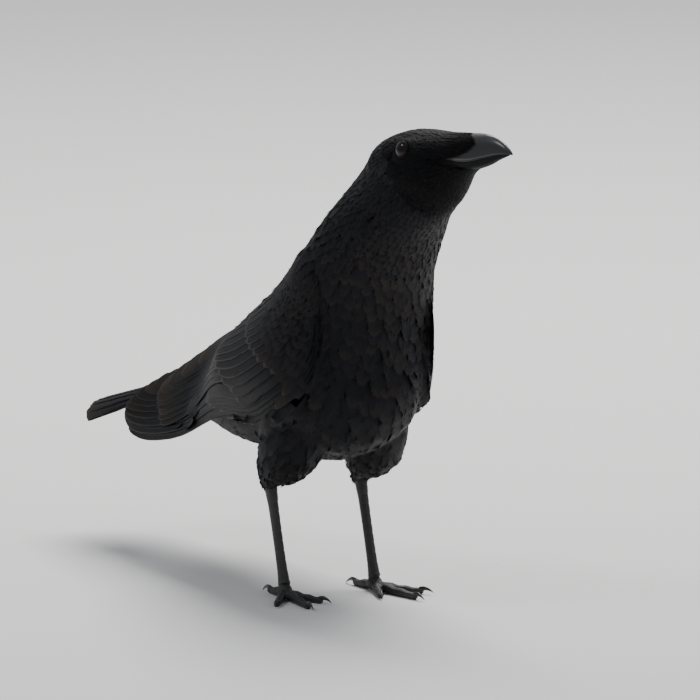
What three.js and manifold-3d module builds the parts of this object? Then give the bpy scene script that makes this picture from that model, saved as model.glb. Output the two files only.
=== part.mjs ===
// A carrion crow standing with its head up, life size, in millimetres.
// The bird looks along +X, its right side is -Y, +Z is up and its soles are on z = 0.
// Sizes are measured from a point near the throat; the finished bird is then centred over the origin.
import * as THREE from "three";
import { mergeVertices } from "three/addons/utils/BufferGeometryUtils.js";
import Module from "manifold-3d";

const wasm = await Module();
wasm.setup();

const GAP = 0.3; // clearance kept between neighbouring pieces

// Head: a frame of its own, turned to the bird's left and tipped bill up.
const HEAD_CENTRE = new THREE.Vector3(-15, 8, 244.5);
const HEAD_TURN = 12;
const HEAD_TIP = 10;
const EYE = { forward: -1.4, side: 12.8, up: 7.1, radius: 6.6 };

// Legs and feet.
const FOOT_X = -112;
const FOOT_SIDE = 27;
const TARSUS_LENGTH = 58;
const TARSUS_LEAN = 17; // degrees the ankle stands behind the foot
const TARSUS_RADIUS = { side: 2.4, front: 3.1 };
const TOE_RADIUS = 2.7;
const TOE_TURN_OUT = 6; // degrees the whole foot points outwards
const TOES = [
  { id: 1, angle: 178, length: 19, claw: 15 },
  { id: 2, angle: -27, length: 25, claw: 11 },
  { id: 3, angle: 2, length: 36, claw: 12 },
  { id: 4, angle: 31, length: 27, claw: 10.5 },
];

// Tail: folded, its middle feathers uppermost and longest.
const TAIL = {
  base: new THREE.Vector3(-216, 0, 104),
  length: 143,
  drop: 14,
  halfBase: 17,
  halfTip: 28,
  roof: 6,
  hang: 7,
  feathers: 12,
  shorter: 13,
};

const deg = THREE.MathUtils.degToRad;
const mix = THREE.MathUtils.lerp;

// ---------- closed solids from rings and sheets ----------

function toSolid(geometry) {
  const plain = new THREE.BufferGeometry();
  plain.setAttribute("position", geometry.getAttribute("position"));
  plain.setIndex(geometry.index);
  const merged = mergeVertices(plain, 1e-4);
  return new wasm.Manifold(
    new wasm.Mesh({
      numProp: 3,
      vertProperties: new Float32Array(merged.getAttribute("position").array),
      triVerts: new Uint32Array(merged.index.array),
    }),
  );
}

function solidFromFaces(points, faces) {
  const geometry = new THREE.BufferGeometry();
  geometry.setAttribute(
    "position",
    new THREE.Float32BufferAttribute(points.flatMap((p) => [p.x, p.y, p.z]), 3),
  );
  geometry.setIndex(faces);
  const solid = toSolid(geometry);
  if (solid.volume() > 0) return solid;
  for (let i = 0; i < faces.length; i += 3) {
    [faces[i + 1], faces[i + 2]] = [faces[i + 2], faces[i + 1]];
  }
  geometry.setIndex(faces);
  return toSolid(geometry);
}

// Joins rings of equal count into one closed skin with a pole at each end.
function loft(rings) {
  const sides = rings[0].length;
  const points = rings.flat();
  const faces = [];
  for (let r = 0; r + 1 < rings.length; r++) {
    for (let s = 0; s < sides; s++) {
      const a = r * sides + s;
      const b = r * sides + ((s + 1) % sides);
      faces.push(a, b, b + sides, a, b + sides, a + sides);
    }
  }
  for (const [ring, order] of [[0, 1], [rings.length - 1, 0]]) {
    const pole = new THREE.Vector3();
    for (const p of rings[ring]) pole.addScaledVector(p, 1 / sides);
    const id = points.push(pole) - 1;
    for (let s = 0; s < sides; s++) {
      const a = ring * sides + s;
      const b = ring * sides + ((s + 1) % sides);
      if (order) faces.push(id, b, a);
      else faces.push(id, a, b);
    }
  }
  return solidFromFaces(points, faces);
}

// Smooth values between stations, each station a list of numbers.
function between(stations, t) {
  const last = stations.length - 1;
  const at = Math.min(Math.max(t, 0), last - 1e-9);
  const i = Math.floor(at);
  const f = at - i;
  const pick = (k) => stations[Math.min(Math.max(k, 0), last)];
  return stations[0].map((_, n) => {
    const [a, b, c, d] = [pick(i - 1)[n], pick(i)[n], pick(i + 1)[n], pick(i + 2)[n]];
    return b + 0.5 * f * (c - a + f * (2 * a - 5 * b + 4 * c - d + f * (3 * (b - c) + d - a)));
  });
}

// One ring of a section between a top and a bottom point: an oval, or a half oval
// whose flat side is its bottom (flat = 1) or its top (flat = -1).
function ovalRing(top, bottom, side, halfWidth, sides, grow, flat) {
  const up = top.clone().sub(bottom);
  const height = up.length();
  up.normalize();
  const ring = [];
  for (let s = 0; s < sides; s++) {
    const angle = (2 * Math.PI * s) / sides;
    const c = Math.cos(angle);
    const n = Math.sin(angle);
    const across = (flat ? Math.sign(n) * Math.abs(n) ** 0.75 : n) * (halfWidth + grow);
    let rise = ((1 + c) / 2) * height + c * grow;
    if (flat) rise = Math.max(0, flat * c) * (height + grow) - grow * (flat * c < 0);
    const from = flat < 0 ? top : bottom;
    ring.push(from.clone().addScaledVector(up, flat < 0 ? -rise : rise).addScaledVector(side, across));
  }
  return ring;
}

// A two-sided sheet with thickness: point(u, v) on the outside, inward(u, v) to the inside.
function slab(rows, columns, point, inward) {
  const points = [];
  const faces = [];
  const size = (rows + 1) * (columns + 1);
  for (const layer of [0, 1]) {
    for (let i = 0; i <= rows; i++) {
      for (let j = 0; j <= columns; j++) {
        const p = point(i / rows, j / columns);
        if (layer) p.add(inward(i / rows, j / columns));
        points.push(p);
      }
    }
  }
  const quad = (a, b, c, d) => faces.push(a, b, c, a, c, d);
  const id = (layer, i, j) => layer * size + i * (columns + 1) + j;
  for (let i = 0; i < rows; i++) {
    for (let j = 0; j < columns; j++) {
      quad(id(0, i, j), id(0, i, j + 1), id(0, i + 1, j + 1), id(0, i + 1, j));
      quad(id(1, i, j), id(1, i + 1, j), id(1, i + 1, j + 1), id(1, i, j + 1));
    }
  }
  for (let i = 0; i < rows; i++) {
    quad(id(0, i, 0), id(0, i + 1, 0), id(1, i + 1, 0), id(1, i, 0));
    quad(id(0, i, columns), id(1, i, columns), id(1, i + 1, columns), id(0, i + 1, columns));
  }
  for (let j = 0; j < columns; j++) {
    quad(id(0, 0, j), id(1, 0, j), id(1, 0, j + 1), id(0, 0, j + 1));
    quad(id(0, rows, j), id(0, rows, j + 1), id(1, rows, j + 1), id(1, rows, j));
  }
  return solidFromFaces(points, faces);
}

const SIDEWAYS = new THREE.Vector3(0, -1, 0);

// ---------- trunk and neck ----------
// Each station: back x and z, belly x and z, half width, turn of the section in degrees,
// and how far the neck has bent to the bird's left.
const BODY = [
  [-256, 98, -248, 89, 12, 0, 0],
  [-246, 102, -236, 84, 19, 0, 0],
  [-224, 111, -209, 79, 28, 0, 0],
  [-200, 123, -177, 75, 37, 0, 0],
  [-176, 138.5, -143, 73, 43, 0, 0],
  [-152, 152.5, -106, 74.5, 45.5, 0, 0],
  [-131, 165.5, -72, 83.5, 46, 0, 0],
  [-115, 178.5, -57.5, 104, 42.5, 0, 0],
  [-104, 189, -53, 133, 38.5, 0, 0],
  [-94, 200, -46.5, 162, 37, 0, 0.5],
  [-85.5, 211, -34, 185.5, 34.5, 2, 2],
  [-76.5, 223.5, -21, 201.5, 31, 5, 4],
  [-67, 235.5, -11, 210.5, 26.5, 9, 6],
  [-57, 248, -4, 218.5, 24, 12, 7.5],
  [-42, 250.5, -1, 227, 17, 12, 8],
];

function bodyPoint(t, angle, lift) {
  const [tx, tz, bx, bz, half, turn, bend] = between(BODY, t);
  const side = SIDEWAYS.clone().applyAxisAngle(new THREE.Vector3(0, 0, 1), deg(turn));
  const up = new THREE.Vector3((tx - bx) / 2, 0, (tz - bz) / 2);
  const height = up.length();
  up.normalize();
  return new THREE.Vector3((tx + bx) / 2, bend, (tz + bz) / 2)
    .addScaledVector(up, Math.cos(angle) * (height + lift))
    .addScaledVector(side, Math.sin(angle) * (half + lift));
}

function bodyLoft(grow) {
  const rings = [];
  const count = 27;
  const sides = 20;
  for (let i = 0; i <= count; i++) {
    const t = ((BODY.length - 1) * i) / count;
    const ring = [];
    for (let s = 0; s < sides; s++) ring.push(bodyPoint(t, (2 * Math.PI * s) / sides, grow));
    rings.push(ring);
  }
  return loft(rings);
}

// ---------- head and bill, in the head's own frame ----------
const headFrame = new THREE.Matrix4()
  .makeTranslation(HEAD_CENTRE)
  .multiply(new THREE.Matrix4().makeRotationZ(deg(HEAD_TURN)))
  .multiply(new THREE.Matrix4().makeRotationY(-deg(HEAD_TIP)));
const onHead = (forward, side, up) => new THREE.Vector3(forward, side, up).applyMatrix4(headFrame);
const headSide = new THREE.Vector3(0, -1, 0).transformDirection(headFrame);

// Stations: forward, top, bottom, half width.
function headLoft(stations, count, sides, grow = 0, flat = 0) {
  const rings = [];
  for (let i = 0; i <= count; i++) {
    const [forward, top, bottom, half] = between(stations, ((stations.length - 1) * i) / count);
    const reach = i === 0 ? -grow : i === count ? grow : 0;
    rings.push(
      ovalRing(
        onHead(forward + reach, 0, top),
        onHead(forward + reach, 0, bottom),
        headSide,
        half,
        sides,
        grow,
        flat,
      ),
    );
  }
  return loft(rings);
}

const SKULL = [
  [-39, 5, -14, 10.5],
  [-33, 13, -18, 17],
  [-20, 16.8, -23, 20],
  [-8, 17.9, -26.5, 21.5],
  [4, 17.2, -27, 20.5],
  [14, 15.6, -23, 17.4],
  [23, 14.2, -15.8, 13],
  [31, 13.2, -10, 9.8],
  [37, 12.6, -7.4, 8.5],
  [41, 10.5, -6.6, 6],
];
const BILL_UPPER = [
  [20, 10.6, 0.8, 7.5],
  [26, 12.2, 0, 8.9],
  [33, 12.7, -1.2, 8.5],
  [41, 12.5, -1.8, 7.2],
  [50, 11.4, -0.8, 5.2],
  [57, 9.2, 0, 3.7],
  [62, 6, 0.3, 2.6],
  [65.6, 2.9, 0.3, 1.5],
  [67.8, 0.5, -0.5, 0.6],
];
const BILL_LOWER = [
  [20, 0.4, -6.6, 6.8],
  [26, -0.4, -7.2, 7.8],
  [33, -1.6, -7, 7.2],
  [41, -2.2, -6.2, 5.9],
  [50, -1.2, -4.7, 4],
  [57, -0.4, -2.6, 2.6],
  [62, -0.1, -1.4, 1.6],
  [65.2, -0.1, -0.8, 0.8],
];

// ---------- wings ----------
// Front part lies on the body: body station, upper and lower angle from the back, lift.
// The rear part is the bundle of primaries, given by its upper and lower edge.
const WING_ON_BODY = [
  [9.3, 66, 92, 0.3],
  [8.8, 53, 118, 1.6],
  [7.9, 39, 128, 2.8],
  [6.4, 28, 127, 3.6],
  [5, 22, 120, 3.8],
  [4, 20, 113, 3.6],
];
const WING_BEHIND = [
  { top: [-213, -12, 125], low: [-204, -41, 75] },
  { top: [-238, -17, 110.3], low: [-232, -39, 69] },
  { top: [-262, -23, 98.8], low: [-258, -37, 66] },
  { top: [-279, -28, 92.5], low: [-276, -36, 67] },
  { top: [-286, -31, 85], low: [-285, -35, 73] },
];
const WING_THICKNESS = [4, 6, 6.5, 6.5, 6, 5.5, 4.6, 3.8, 3, 2.2, 1.2];
const PRIMARY_TIPS = 5;

// Each row runs across the wing in five points, from the upper edge to the lower.
function wingRows() {
  const across = [0, 0.25, 0.5, 0.75, 1];
  const rows = [];
  for (let i = 0; i <= 8; i++) {
    const [t, upper, lower, lift] = between(WING_ON_BODY, ((WING_ON_BODY.length - 1) * i) / 8);
    rows.push(across.map((v) => bodyPoint(t, deg(mix(upper, lower, v)), lift).toArray()));
  }
  for (const { top, low } of WING_BEHIND) {
    const bulge = (v) => 7 * v * (1 - v);
    rows.push(
      across.map((v) => [
        mix(top[0], low[0], v),
        mix(top[1], low[1], v) - bulge(v),
        mix(top[2], low[2], v),
      ]),
    );
  }
  return rows;
}

function wingPoint(rows, u, v) {
  const lengthwise = between(rows.map((row) => row.flat()), u * (rows.length - 1));
  const line = [0, 3, 6, 9, 12].map((n) => lengthwise.slice(n, n + 3));
  const p = new THREE.Vector3(...between(line, v * 4));
  // The tips of the outer primaries step along the lower edge of the bundle.
  const along = Math.max(0, (u - 0.62) / 0.34);
  if (along < 1) p.z += 2.2 * v ** 4 * ((along * PRIMARY_TIPS) % 1);
  return p;
}

function wing(grow) {
  const rows = wingRows();
  const thickness = WING_THICKNESS.map((t) => [t]);
  const normal = (u, v) => {
    const e = 0.01;
    const du = wingPoint(rows, Math.min(u + e, 1), 0.5).sub(wingPoint(rows, Math.max(u - e, 0), 0.5));
    const dv = wingPoint(rows, u, Math.min(v + e, 1)).sub(wingPoint(rows, u, Math.max(v - e, 0)));
    const n = du.cross(dv).normalize();
    return n.y < 0 ? n.negate() : n;
  };
  const depth = (u, v) => {
    const [t] = between(thickness, u * (thickness.length - 1));
    return Math.max(0.8, t * (0.3 + 0.7 * Math.sin(Math.PI * v) ** 0.6));
  };
  // A grown wing also reaches further past each of its four edges.
  const past = (x, along) => {
    const end = Math.sign(x - 0.5) * (x < 0.001 || x > 0.999 ? 1 : 0);
    return along.normalize().multiplyScalar(end * grow * 1.5);
  };
  const point = (u, v) =>
    wingPoint(rows, u, v)
      .addScaledVector(normal(u, v), -grow)
      .add(past(u, wingPoint(rows, Math.min(u + 0.01, 1), v).sub(wingPoint(rows, Math.max(u - 0.01, 0), v))))
      .add(past(v, wingPoint(rows, u, Math.min(v + 0.01, 1)).sub(wingPoint(rows, u, Math.max(v - 0.01, 0)))));
  const inward = (u, v) => normal(u, v).multiplyScalar(depth(u, v) + 2 * grow);
  return slab(24, 6, point, inward);
}

// ---------- tail ----------
function tail() {
  const axis = new THREE.Vector3(-Math.cos(deg(TAIL.drop)), 0, -Math.sin(deg(TAIL.drop)));
  const lift = new THREE.Vector3(-axis.z, 0, axis.x).negate();
  const reach = (a) => {
    const step = Math.abs(Math.sin((a * TAIL.feathers * Math.PI) / 2));
    return TAIL.length - TAIL.shorter * a * a - 3.2 * (1 - step) ** 0.7;
  };
  const point = (u, v) => {
    const a = 2 * v - 1;
    const half = mix(TAIL.halfBase, TAIL.halfTip, Math.sin((u * Math.PI) / 2.2));
    return TAIL.base
      .clone()
      .addScaledVector(axis, u * reach(a))
      .addScaledVector(SIDEWAYS, a * half)
      .addScaledVector(lift, TAIL.roof * (1 - a * a) * (1 - 0.4 * u) - TAIL.hang * a ** 6 * u);
  };
  const inward = (u) => lift.clone().multiplyScalar(-mix(7, 2.4, u));
  return slab(6, 24, point, inward);
}

// ---------- legs ----------
// A limb from points and radii: [x, y, z, radius across, radius fore and aft].
function limb(stations, count, sides, grow = 0) {
  const rings = [];
  for (let i = 0; i <= count; i++) {
    const t = ((stations.length - 1) * i) / count;
    const [x, y, z, across, fore] = between(stations, t);
    const ahead = between(stations, Math.min(t + 0.05, stations.length - 1));
    const behind = between(stations, Math.max(t - 0.05, 0));
    const along = new THREE.Vector3(ahead[0] - behind[0], ahead[1] - behind[1], ahead[2] - behind[2]);
    along.normalize();
    const reach = i === 0 ? -grow : i === count ? grow : 0;
    const centre = new THREE.Vector3(x, y, z).addScaledVector(along, reach);
    const side = new THREE.Vector3(0, 1, 0).addScaledVector(along, -along.y).normalize();
    const front = new THREE.Vector3().crossVectors(side, along);
    const ring = [];
    for (let s = 0; s < sides; s++) {
      const angle = (2 * Math.PI * s) / sides;
      ring.push(
        centre
          .clone()
          .addScaledVector(side, Math.cos(angle) * (across + grow))
          .addScaledVector(front, Math.sin(angle) * (fore + grow)),
      );
    }
    rings.push(ring);
  }
  return loft(rings);
}

const ankle = {
  x: FOOT_X - TARSUS_LENGTH * Math.sin(deg(TARSUS_LEAN)),
  z: 5 + TARSUS_LENGTH * Math.cos(deg(TARSUS_LEAN)),
};

function thigh(grow) {
  const y = -FOOT_SIDE;
  return limb(
    [
      [ankle.x + 26, y + 8, ankle.z + 44, 15, 19],
      [ankle.x + 24.5, y + 3, ankle.z + 31, 17, 21],
      [ankle.x + 15, y + 1, ankle.z + 18, 15, 18],
      [ankle.x + 5.5, y + 0.5, ankle.z + 8, 9.5, 11],
      [ankle.x + 0.5, y, ankle.z + 1, 4.8, 5.6],
    ],
    8,
    12,
    grow,
  );
}

function tarsus(grow) {
  const y = -FOOT_SIDE;
  const at = (f, wide, extra = 0) => [
    mix(FOOT_X, ankle.x, f),
    y,
    mix(5, ankle.z, f),
    TARSUS_RADIUS.side * wide,
    TARSUS_RADIUS.front * wide + extra,
  ];
  return limb(
    [at(0.05, 1.25, 0.3), at(0.14, 1.05), at(0.4, 0.95), at(0.75, 1), at(0.93, 1.25, 0.3), at(1.05, 1.3)],
    8,
    10,
    grow,
  );
}

// One toe runs out along its own direction, with a pad under each joint.
function toeStations(toe) {
  const angle = deg(toe.angle + TOE_TURN_OUT);
  const way = new THREE.Vector3(Math.cos(angle), -Math.sin(angle), 0);
  const at = (f) => new THREE.Vector3(FOOT_X, -FOOT_SIDE, 0).addScaledVector(way, f);
  return { way, at };
}

function ringed(at, way, heights, sides) {
  const side = new THREE.Vector3(-way.y, way.x, 0);
  const up = new THREE.Vector3(0, 0, 1);
  return loft(
    heights.map(([distance, z, radius]) => {
      const ring = [];
      for (let s = 0; s < sides; s++) {
        const angle = (2 * Math.PI * s) / sides;
        ring.push(
          at(distance)
            .addScaledVector(up, z + Math.cos(angle) * radius)
            .addScaledVector(side, Math.sin(angle) * radius * 0.94),
        );
      }
      return ring;
    }),
  );
}

function toeSolid(toe, grow) {
  const { way, at } = toeStations(toe);
  const r = TOE_RADIUS * (toe.id === 3 || toe.id === 1 ? 1.04 : 0.95);
  const heights = [[-2, 3.6, 1.5 + grow]];
  const joints = toe.id === 1 ? 2 : 3;
  const steps = joints * 2;
  for (let i = 0; i <= steps; i++) {
    const f = i / steps;
    const pad = 0.5 + 0.5 * Math.cos(2 * Math.PI * f * joints);
    const radius = mix(r * 1.1, r * 0.72, f) * (0.86 + 0.14 * pad);
    heights.push([mix(1, toe.length, f), radius * 0.86 + 1.2 * (1 - f) ** 3, radius + grow]);
  }
  heights.push([toe.length + 1.3 + grow, r * 0.66, r * 0.42 + grow]);
  return ringed(at, way, heights, 7);
}

function footSolid(grow) {
  const ball = new THREE.SphereGeometry(4.3 + grow, 8, 6);
  ball.scale(1.12, 0.95, 0.95);
  ball.translate(FOOT_X - 0.3, -FOOT_SIDE, 4.1);
  let foot = toSolid(ball);
  for (const toe of TOES) foot = foot.add(toeSolid(toe, grow));
  return foot;
}

// A claw leaves the toe level and curves down until its point meets the floor.
function claw(toe) {
  const { way, at } = toeStations(toe);
  const heights = [];
  const steps = 5;
  for (let i = 0; i <= steps; i++) {
    const f = i / steps;
    const bend = f * deg(toe.id === 1 ? 78 : 68);
    const arc = toe.claw / deg(toe.id === 1 ? 78 : 68);
    const radius = mix(1.75, 0.36, f ** 0.8);
    const z = 2.1 + 1.5 * Math.sin(Math.min(1, 2.4 * f) * (Math.PI / 2)) - arc * (1 - Math.cos(bend)) * 0.42;
    heights.push([toe.length - 0.6 + arc * Math.sin(bend), Math.max(z, radius + 0.05), radius]);
  }
  return ringed(at, way, heights, 7);
}

// ---------- building the bird ----------
const crow = new THREE.Group();
crow.name = "carrion_crow";

const feathers = { color: 0x0d0e11, roughness: 0.5, metalness: 0 };
const horn = { color: 0x1b1d20, roughness: 0.32, metalness: 0 };
const scales = { color: 0x141416, roughness: 0.55, metalness: 0 };
const eyeball = { color: 0x120c09, roughness: 0.06, metalness: 0 };

// Keeps the largest closed body of a cut solid.
function whole(solid) {
  return solid
    .decompose()
    .reduce((a, b) => (b.volume() > a.volume() ? b : a))
    .simplify(0.07);
}

function addPiece(name, solid, look) {
  const made = whole(solid).getMesh();
  const geometry = new THREE.BufferGeometry();
  geometry.setAttribute("position", new THREE.Float32BufferAttribute(made.vertProperties, 3));
  geometry.setIndex(Array.from(made.triVerts));
  geometry.computeVertexNormals();
  const piece = new THREE.Mesh(geometry, new THREE.MeshStandardMaterial(look));
  piece.name = name;
  crow.add(piece);
}

const mirrored = (solid) => solid.mirror([0, 1, 0]);
const SIDES = [
  ["right", (solid) => solid],
  ["left", mirrored],
];

// A plane across the neck at a body station; the normal points to the head.
function neckPlane(t) {
  const [tx, tz, bx, bz] = between(BODY, t);
  const up = new THREE.Vector3(tx - bx, 0, tz - bz).normalize();
  const normal = new THREE.Vector3(up.z, 0, -up.x);
  const offset = normal.dot(new THREE.Vector3((tx + bx) / 2, 0, (tz + bz) / 2));
  return { normal: normal.toArray(), back: normal.clone().negate().toArray(), offset };
}

const flesh = bodyLoft(0);
const fleshGrown = bodyLoft(GAP);
const skull = headLoft(SKULL, 14, 18);
const billUpper = headLoft(BILL_UPPER, 16, 12, 0, 1);
const billLower = headLoft(BILL_LOWER, 14, 12, 0, -1);
const eyeBall = (grow, side) => {
  const ball = new THREE.SphereGeometry(EYE.radius + grow, 14, 9);
  const centre = onHead(EYE.forward, side * EYE.side, EYE.up);
  ball.translate(centre.x, centre.y, centre.z);
  return toSolid(ball);
};

const low = neckPlane(9.4);
const high = neckPlane(12);
const wholeBody = flesh.add(skull);

const trunkFront = wholeBody.trimByPlane(low.back, -low.offset + GAP / 2);
const wingCut = wing(GAP);
const trunk = trunkFront.subtract(wingCut).subtract(mirrored(wingCut));
addPiece("trunk", trunk, feathers);

const neck = wholeBody
  .trimByPlane(low.normal, low.offset + GAP / 2)
  .trimByPlane(high.back, -high.offset + GAP / 2)
  .subtract(wingCut)
  .subtract(mirrored(wingCut));
addPiece("neck", neck, feathers);

const head = wholeBody
  .trimByPlane(high.normal, high.offset + GAP / 2)
  .subtract(headLoft(BILL_UPPER, 16, 12, GAP, 1))
  .subtract(headLoft(BILL_LOWER, 14, 12, GAP, -1))
  .subtract(eyeBall(GAP, -1))
  .subtract(eyeBall(GAP, 1));
addPiece("head", head, feathers);
addPiece("bill_upper", billUpper, horn);
addPiece("bill_lower", billLower, horn);
addPiece("eye_right", eyeBall(0, -1), eyeball);
addPiece("eye_left", eyeBall(0, 1), eyeball);

const tailSolid = tail().subtract(fleshGrown).subtract(wingCut).subtract(mirrored(wingCut));
addPiece("tail", tailSolid, feathers);

for (const [side, place] of SIDES) {
  addPiece(`wing_${side}`, place(wing(0)), feathers);
  addPiece(`thigh_${side}`, place(thigh(0).subtract(fleshGrown).subtract(wingCut)), feathers);
  addPiece(`tarsus_${side}`, place(tarsus(0).subtract(thigh(GAP))), scales);
  const foot = footSolid(0).subtract(tarsus(GAP)).trimByPlane([0, 0, 1], 0);
  addPiece(`foot_${side}`, place(foot), scales);
  for (const toe of TOES) {
    const point = claw(toe).subtract(footSolid(GAP)).trimByPlane([0, 0, 1], 0);
    addPiece(`claw_${side}_${toe.id}`, place(point), horn);
  }
}

const box = new THREE.Box3().setFromObject(crow);
const middle = box.getCenter(new THREE.Vector3());
crow.position.set(-middle.x, -middle.y, -box.min.z);

export default crow;
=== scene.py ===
"""A carrion crow standing with its head up, dressed in skin, plumage, horn and scales."""

import math

import bpy
import numpy as np
from mathutils import Matrix
from mathutils.bvhtree import BVHTree
from mathutils.kdtree import KDTree


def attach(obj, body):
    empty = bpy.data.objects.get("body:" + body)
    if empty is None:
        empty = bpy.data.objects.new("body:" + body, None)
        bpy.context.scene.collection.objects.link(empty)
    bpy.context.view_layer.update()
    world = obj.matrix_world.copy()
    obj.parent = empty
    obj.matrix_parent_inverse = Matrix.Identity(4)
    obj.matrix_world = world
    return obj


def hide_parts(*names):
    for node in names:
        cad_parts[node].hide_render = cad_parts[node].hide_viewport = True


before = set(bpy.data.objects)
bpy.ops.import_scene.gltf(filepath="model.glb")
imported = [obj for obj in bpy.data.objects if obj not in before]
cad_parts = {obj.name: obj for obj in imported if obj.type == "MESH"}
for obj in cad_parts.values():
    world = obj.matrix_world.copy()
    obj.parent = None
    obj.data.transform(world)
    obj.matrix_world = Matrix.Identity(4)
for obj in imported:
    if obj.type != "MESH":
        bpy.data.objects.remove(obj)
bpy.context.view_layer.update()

MM = 0.001


# ---------- floor, lamps and camera ----------
# The bird stands on a plain pale floor. One broad lamp hangs high and a little behind it,
# so that its black back, crown and bill take a sheen, and a weak one fills the near side.
LOOK_ROUND, LOOK_DOWN = math.radians(62), math.radians(9)
SHOWN_WIDTH = 372.3 * MM
SHOWN_CENTRE = (29.68 * MM, 124.1 * MM)  # to the right and up, as the camera sees it
LENS, SENSOR, FAR_CLIP = 1200, 36, 100
LAMP_AIM = (0.03, 0, 0.13)
LAMP_SIDEWAYS = (0.01, 1, 0.02)
LAMPS = (  # name, place, width and length, power, tint
    ("lamp_high", (-0.75, 0.75, 1.9), (1.7, 1.2), 66, (1.0, 0.99, 0.97)),
    ("lamp_near", (-0.3, -1.75, 2.25), (0.75, 0.65), 11, (0.97, 0.98, 1.0)),
)
FLOOR_SIZE = 90
ROOM_TINT, ROOM_LIGHT = (0.93, 0.95, 1.0, 1), 0.42


def unit(ways, least=0.0):
    """The same directions, each one long. Those shorter than least stay short."""
    return ways / np.maximum(np.linalg.norm(ways, axis=-1, keepdims=True), least)


def placed(name, data, place, right, up, back):
    """A camera or lamp in the scene, looking away from back."""
    made = bpy.data.objects.new(name, data)
    made.location = place
    made.rotation_euler = Matrix(np.stack([right, up, back], 1).tolist()).to_euler()
    bpy.context.collection.objects.link(made)
    return made


for name, place, size, power, tint in LAMPS:
    light = bpy.data.lights.new(name, "AREA")
    light.shape = "RECTANGLE"
    light.size, light.size_y = size
    light.energy, light.color = power, tint
    back = unit(np.array(place) - LAMP_AIM)
    right = unit(np.cross(LAMP_SIDEWAYS, back))
    placed(name, light, place, right, np.cross(back, right), back)

level_back = np.array([math.sin(LOOK_ROUND), -math.cos(LOOK_ROUND), 0])
sight_back = level_back * math.cos(LOOK_DOWN) + np.array([0, 0, math.sin(LOOK_DOWN)])
sight_right = np.array([math.cos(LOOK_ROUND), math.sin(LOOK_ROUND), 0])
sight_up = np.cross(sight_back, sight_right)
aim = sight_right * SHOWN_CENTRE[0] + sight_up * SHOWN_CENTRE[1]
lens = bpy.data.cameras.new("camera")
lens.lens, lens.sensor_width, lens.clip_end = LENS, SENSOR, FAR_CLIP
stand = aim + sight_back * SHOWN_WIDTH * LENS / SENSOR
bpy.context.scene.camera = placed("camera", lens, stand, sight_right, sight_up, sight_back)


def feed(tree, made, feeds):
    """Sets a node's inputs, given as {name: value or socket}."""
    for key, value in dict(feeds).items():
        if isinstance(value, bpy.types.NodeSocket):
            tree.links.new(value, made.inputs[key])
        else:
            made.inputs[key].default_value = value


def node(tree, kind, feeds=(), **settings):
    made = tree.nodes.new("ShaderNode" + kind)
    for key, value in settings.items():
        setattr(made, key, value)
    feed(tree, made, feeds)
    return made


def noise(tree, scale, detail, roughness=0.5, **feeds):
    settings = {"Scale": scale, "Detail": detail, "Roughness": roughness, **feeds}
    return node(tree, "TexNoise", settings).outputs["Fac"]


def ramp(tree, value, *stops):
    """Colour by a value from 0 to 1. Each stop is its place and its red, green and blue."""
    made = node(tree, "ValToRGB", {"Fac": value})
    marks = made.color_ramp.elements
    for mark, (place, colour) in zip((marks[0], marks[1]), (stops[0], stops[-1])):
        mark.position, mark.color = place, (*colour, 1)
    for place, colour in stops[1:-1]:
        marks.new(place).color = (*colour, 1)
    return made.outputs[0]


def finish_named(name, feeds):
    """A material with one Principled shader, whose plain values are set on its own sockets."""
    made = bpy.data.materials.new(name)
    made.use_nodes = True
    shader = made.node_tree.nodes["Principled BSDF"]
    feed(made.node_tree, shader, feeds)
    return made, made.node_tree, shader


floor_paint, tree, shader = finish_named("floor_paint", {"Roughness": 0.9})
tone = ramp(tree, noise(tree, 3.0, 2.0), (0, (0.76, 0.76, 0.755)), (1, (0.80, 0.80, 0.795)))
feed(tree, shader, {"Base Color": tone})
bpy.ops.mesh.primitive_plane_add(size=FLOOR_SIZE)
floor = bpy.context.object
floor.name = "floor"
floor.data.materials.append(floor_paint)

world = bpy.data.worlds.new("room")
world.use_nodes = True
feed(world.node_tree, world.node_tree.nodes["Background"], {0: ROOM_TINT, 1: ROOM_LIGHT})
bpy.context.scene.world = world


# ---------- the form of the bird ----------
# The outline of the plumage is that of the solids, melted into one smooth form. Feathers
# lie just under this form, each over the next, from the bill back to the tail.
FUSE_SWELL = 0.3 * MM  # closes the fine gaps between the solids
FORM_GRAIN, FORM_ROUNDS = 1.25 * MM, 14
FACING_SPREAD = 8  # rounds of evening out the way the form faces
# Throat and nape: where a crease is evened out (place, reach, rounds), and where feathers
# fill a hollow (place, reach, swell).
EASED = (([148, 14, 221], 21, 130), ([97, 2, 247], 15, 60))
FULLER = (([148, 16, 220], 14, 2.0), ([87, -1, 239], 12, 1.9))

FLESH = ["trunk", "neck", "head", "bill_upper", "bill_lower", "eye_right", "eye_left"]
FLESH += ["thigh_right", "thigh_left"]
FEATHERED_ONLY = ["wing_right", "wing_left", "tail"]
SHANKS = ["tarsus_right", "tarsus_left"]  # the thigh feathers run a little way down them


def vertex_normals(points, faces):
    corners = points[faces]
    facing = np.cross(corners[:, 2] - corners[:, 0], corners[:, -1] - corners[:, 1])
    total = np.zeros_like(points)
    for k in range(3):
        for c in range(faces.shape[1]):
            total[:, k] += np.bincount(faces[:, c], facing[:, k], len(points))
    return unit(total, 1e-12)


def read(items, key, kind, width):
    """One property of many mesh items, as rows of so many numbers."""
    values = np.empty(len(items) * width, kind)
    items.foreach_get(key, values)
    return values.reshape(-1, width)


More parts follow.
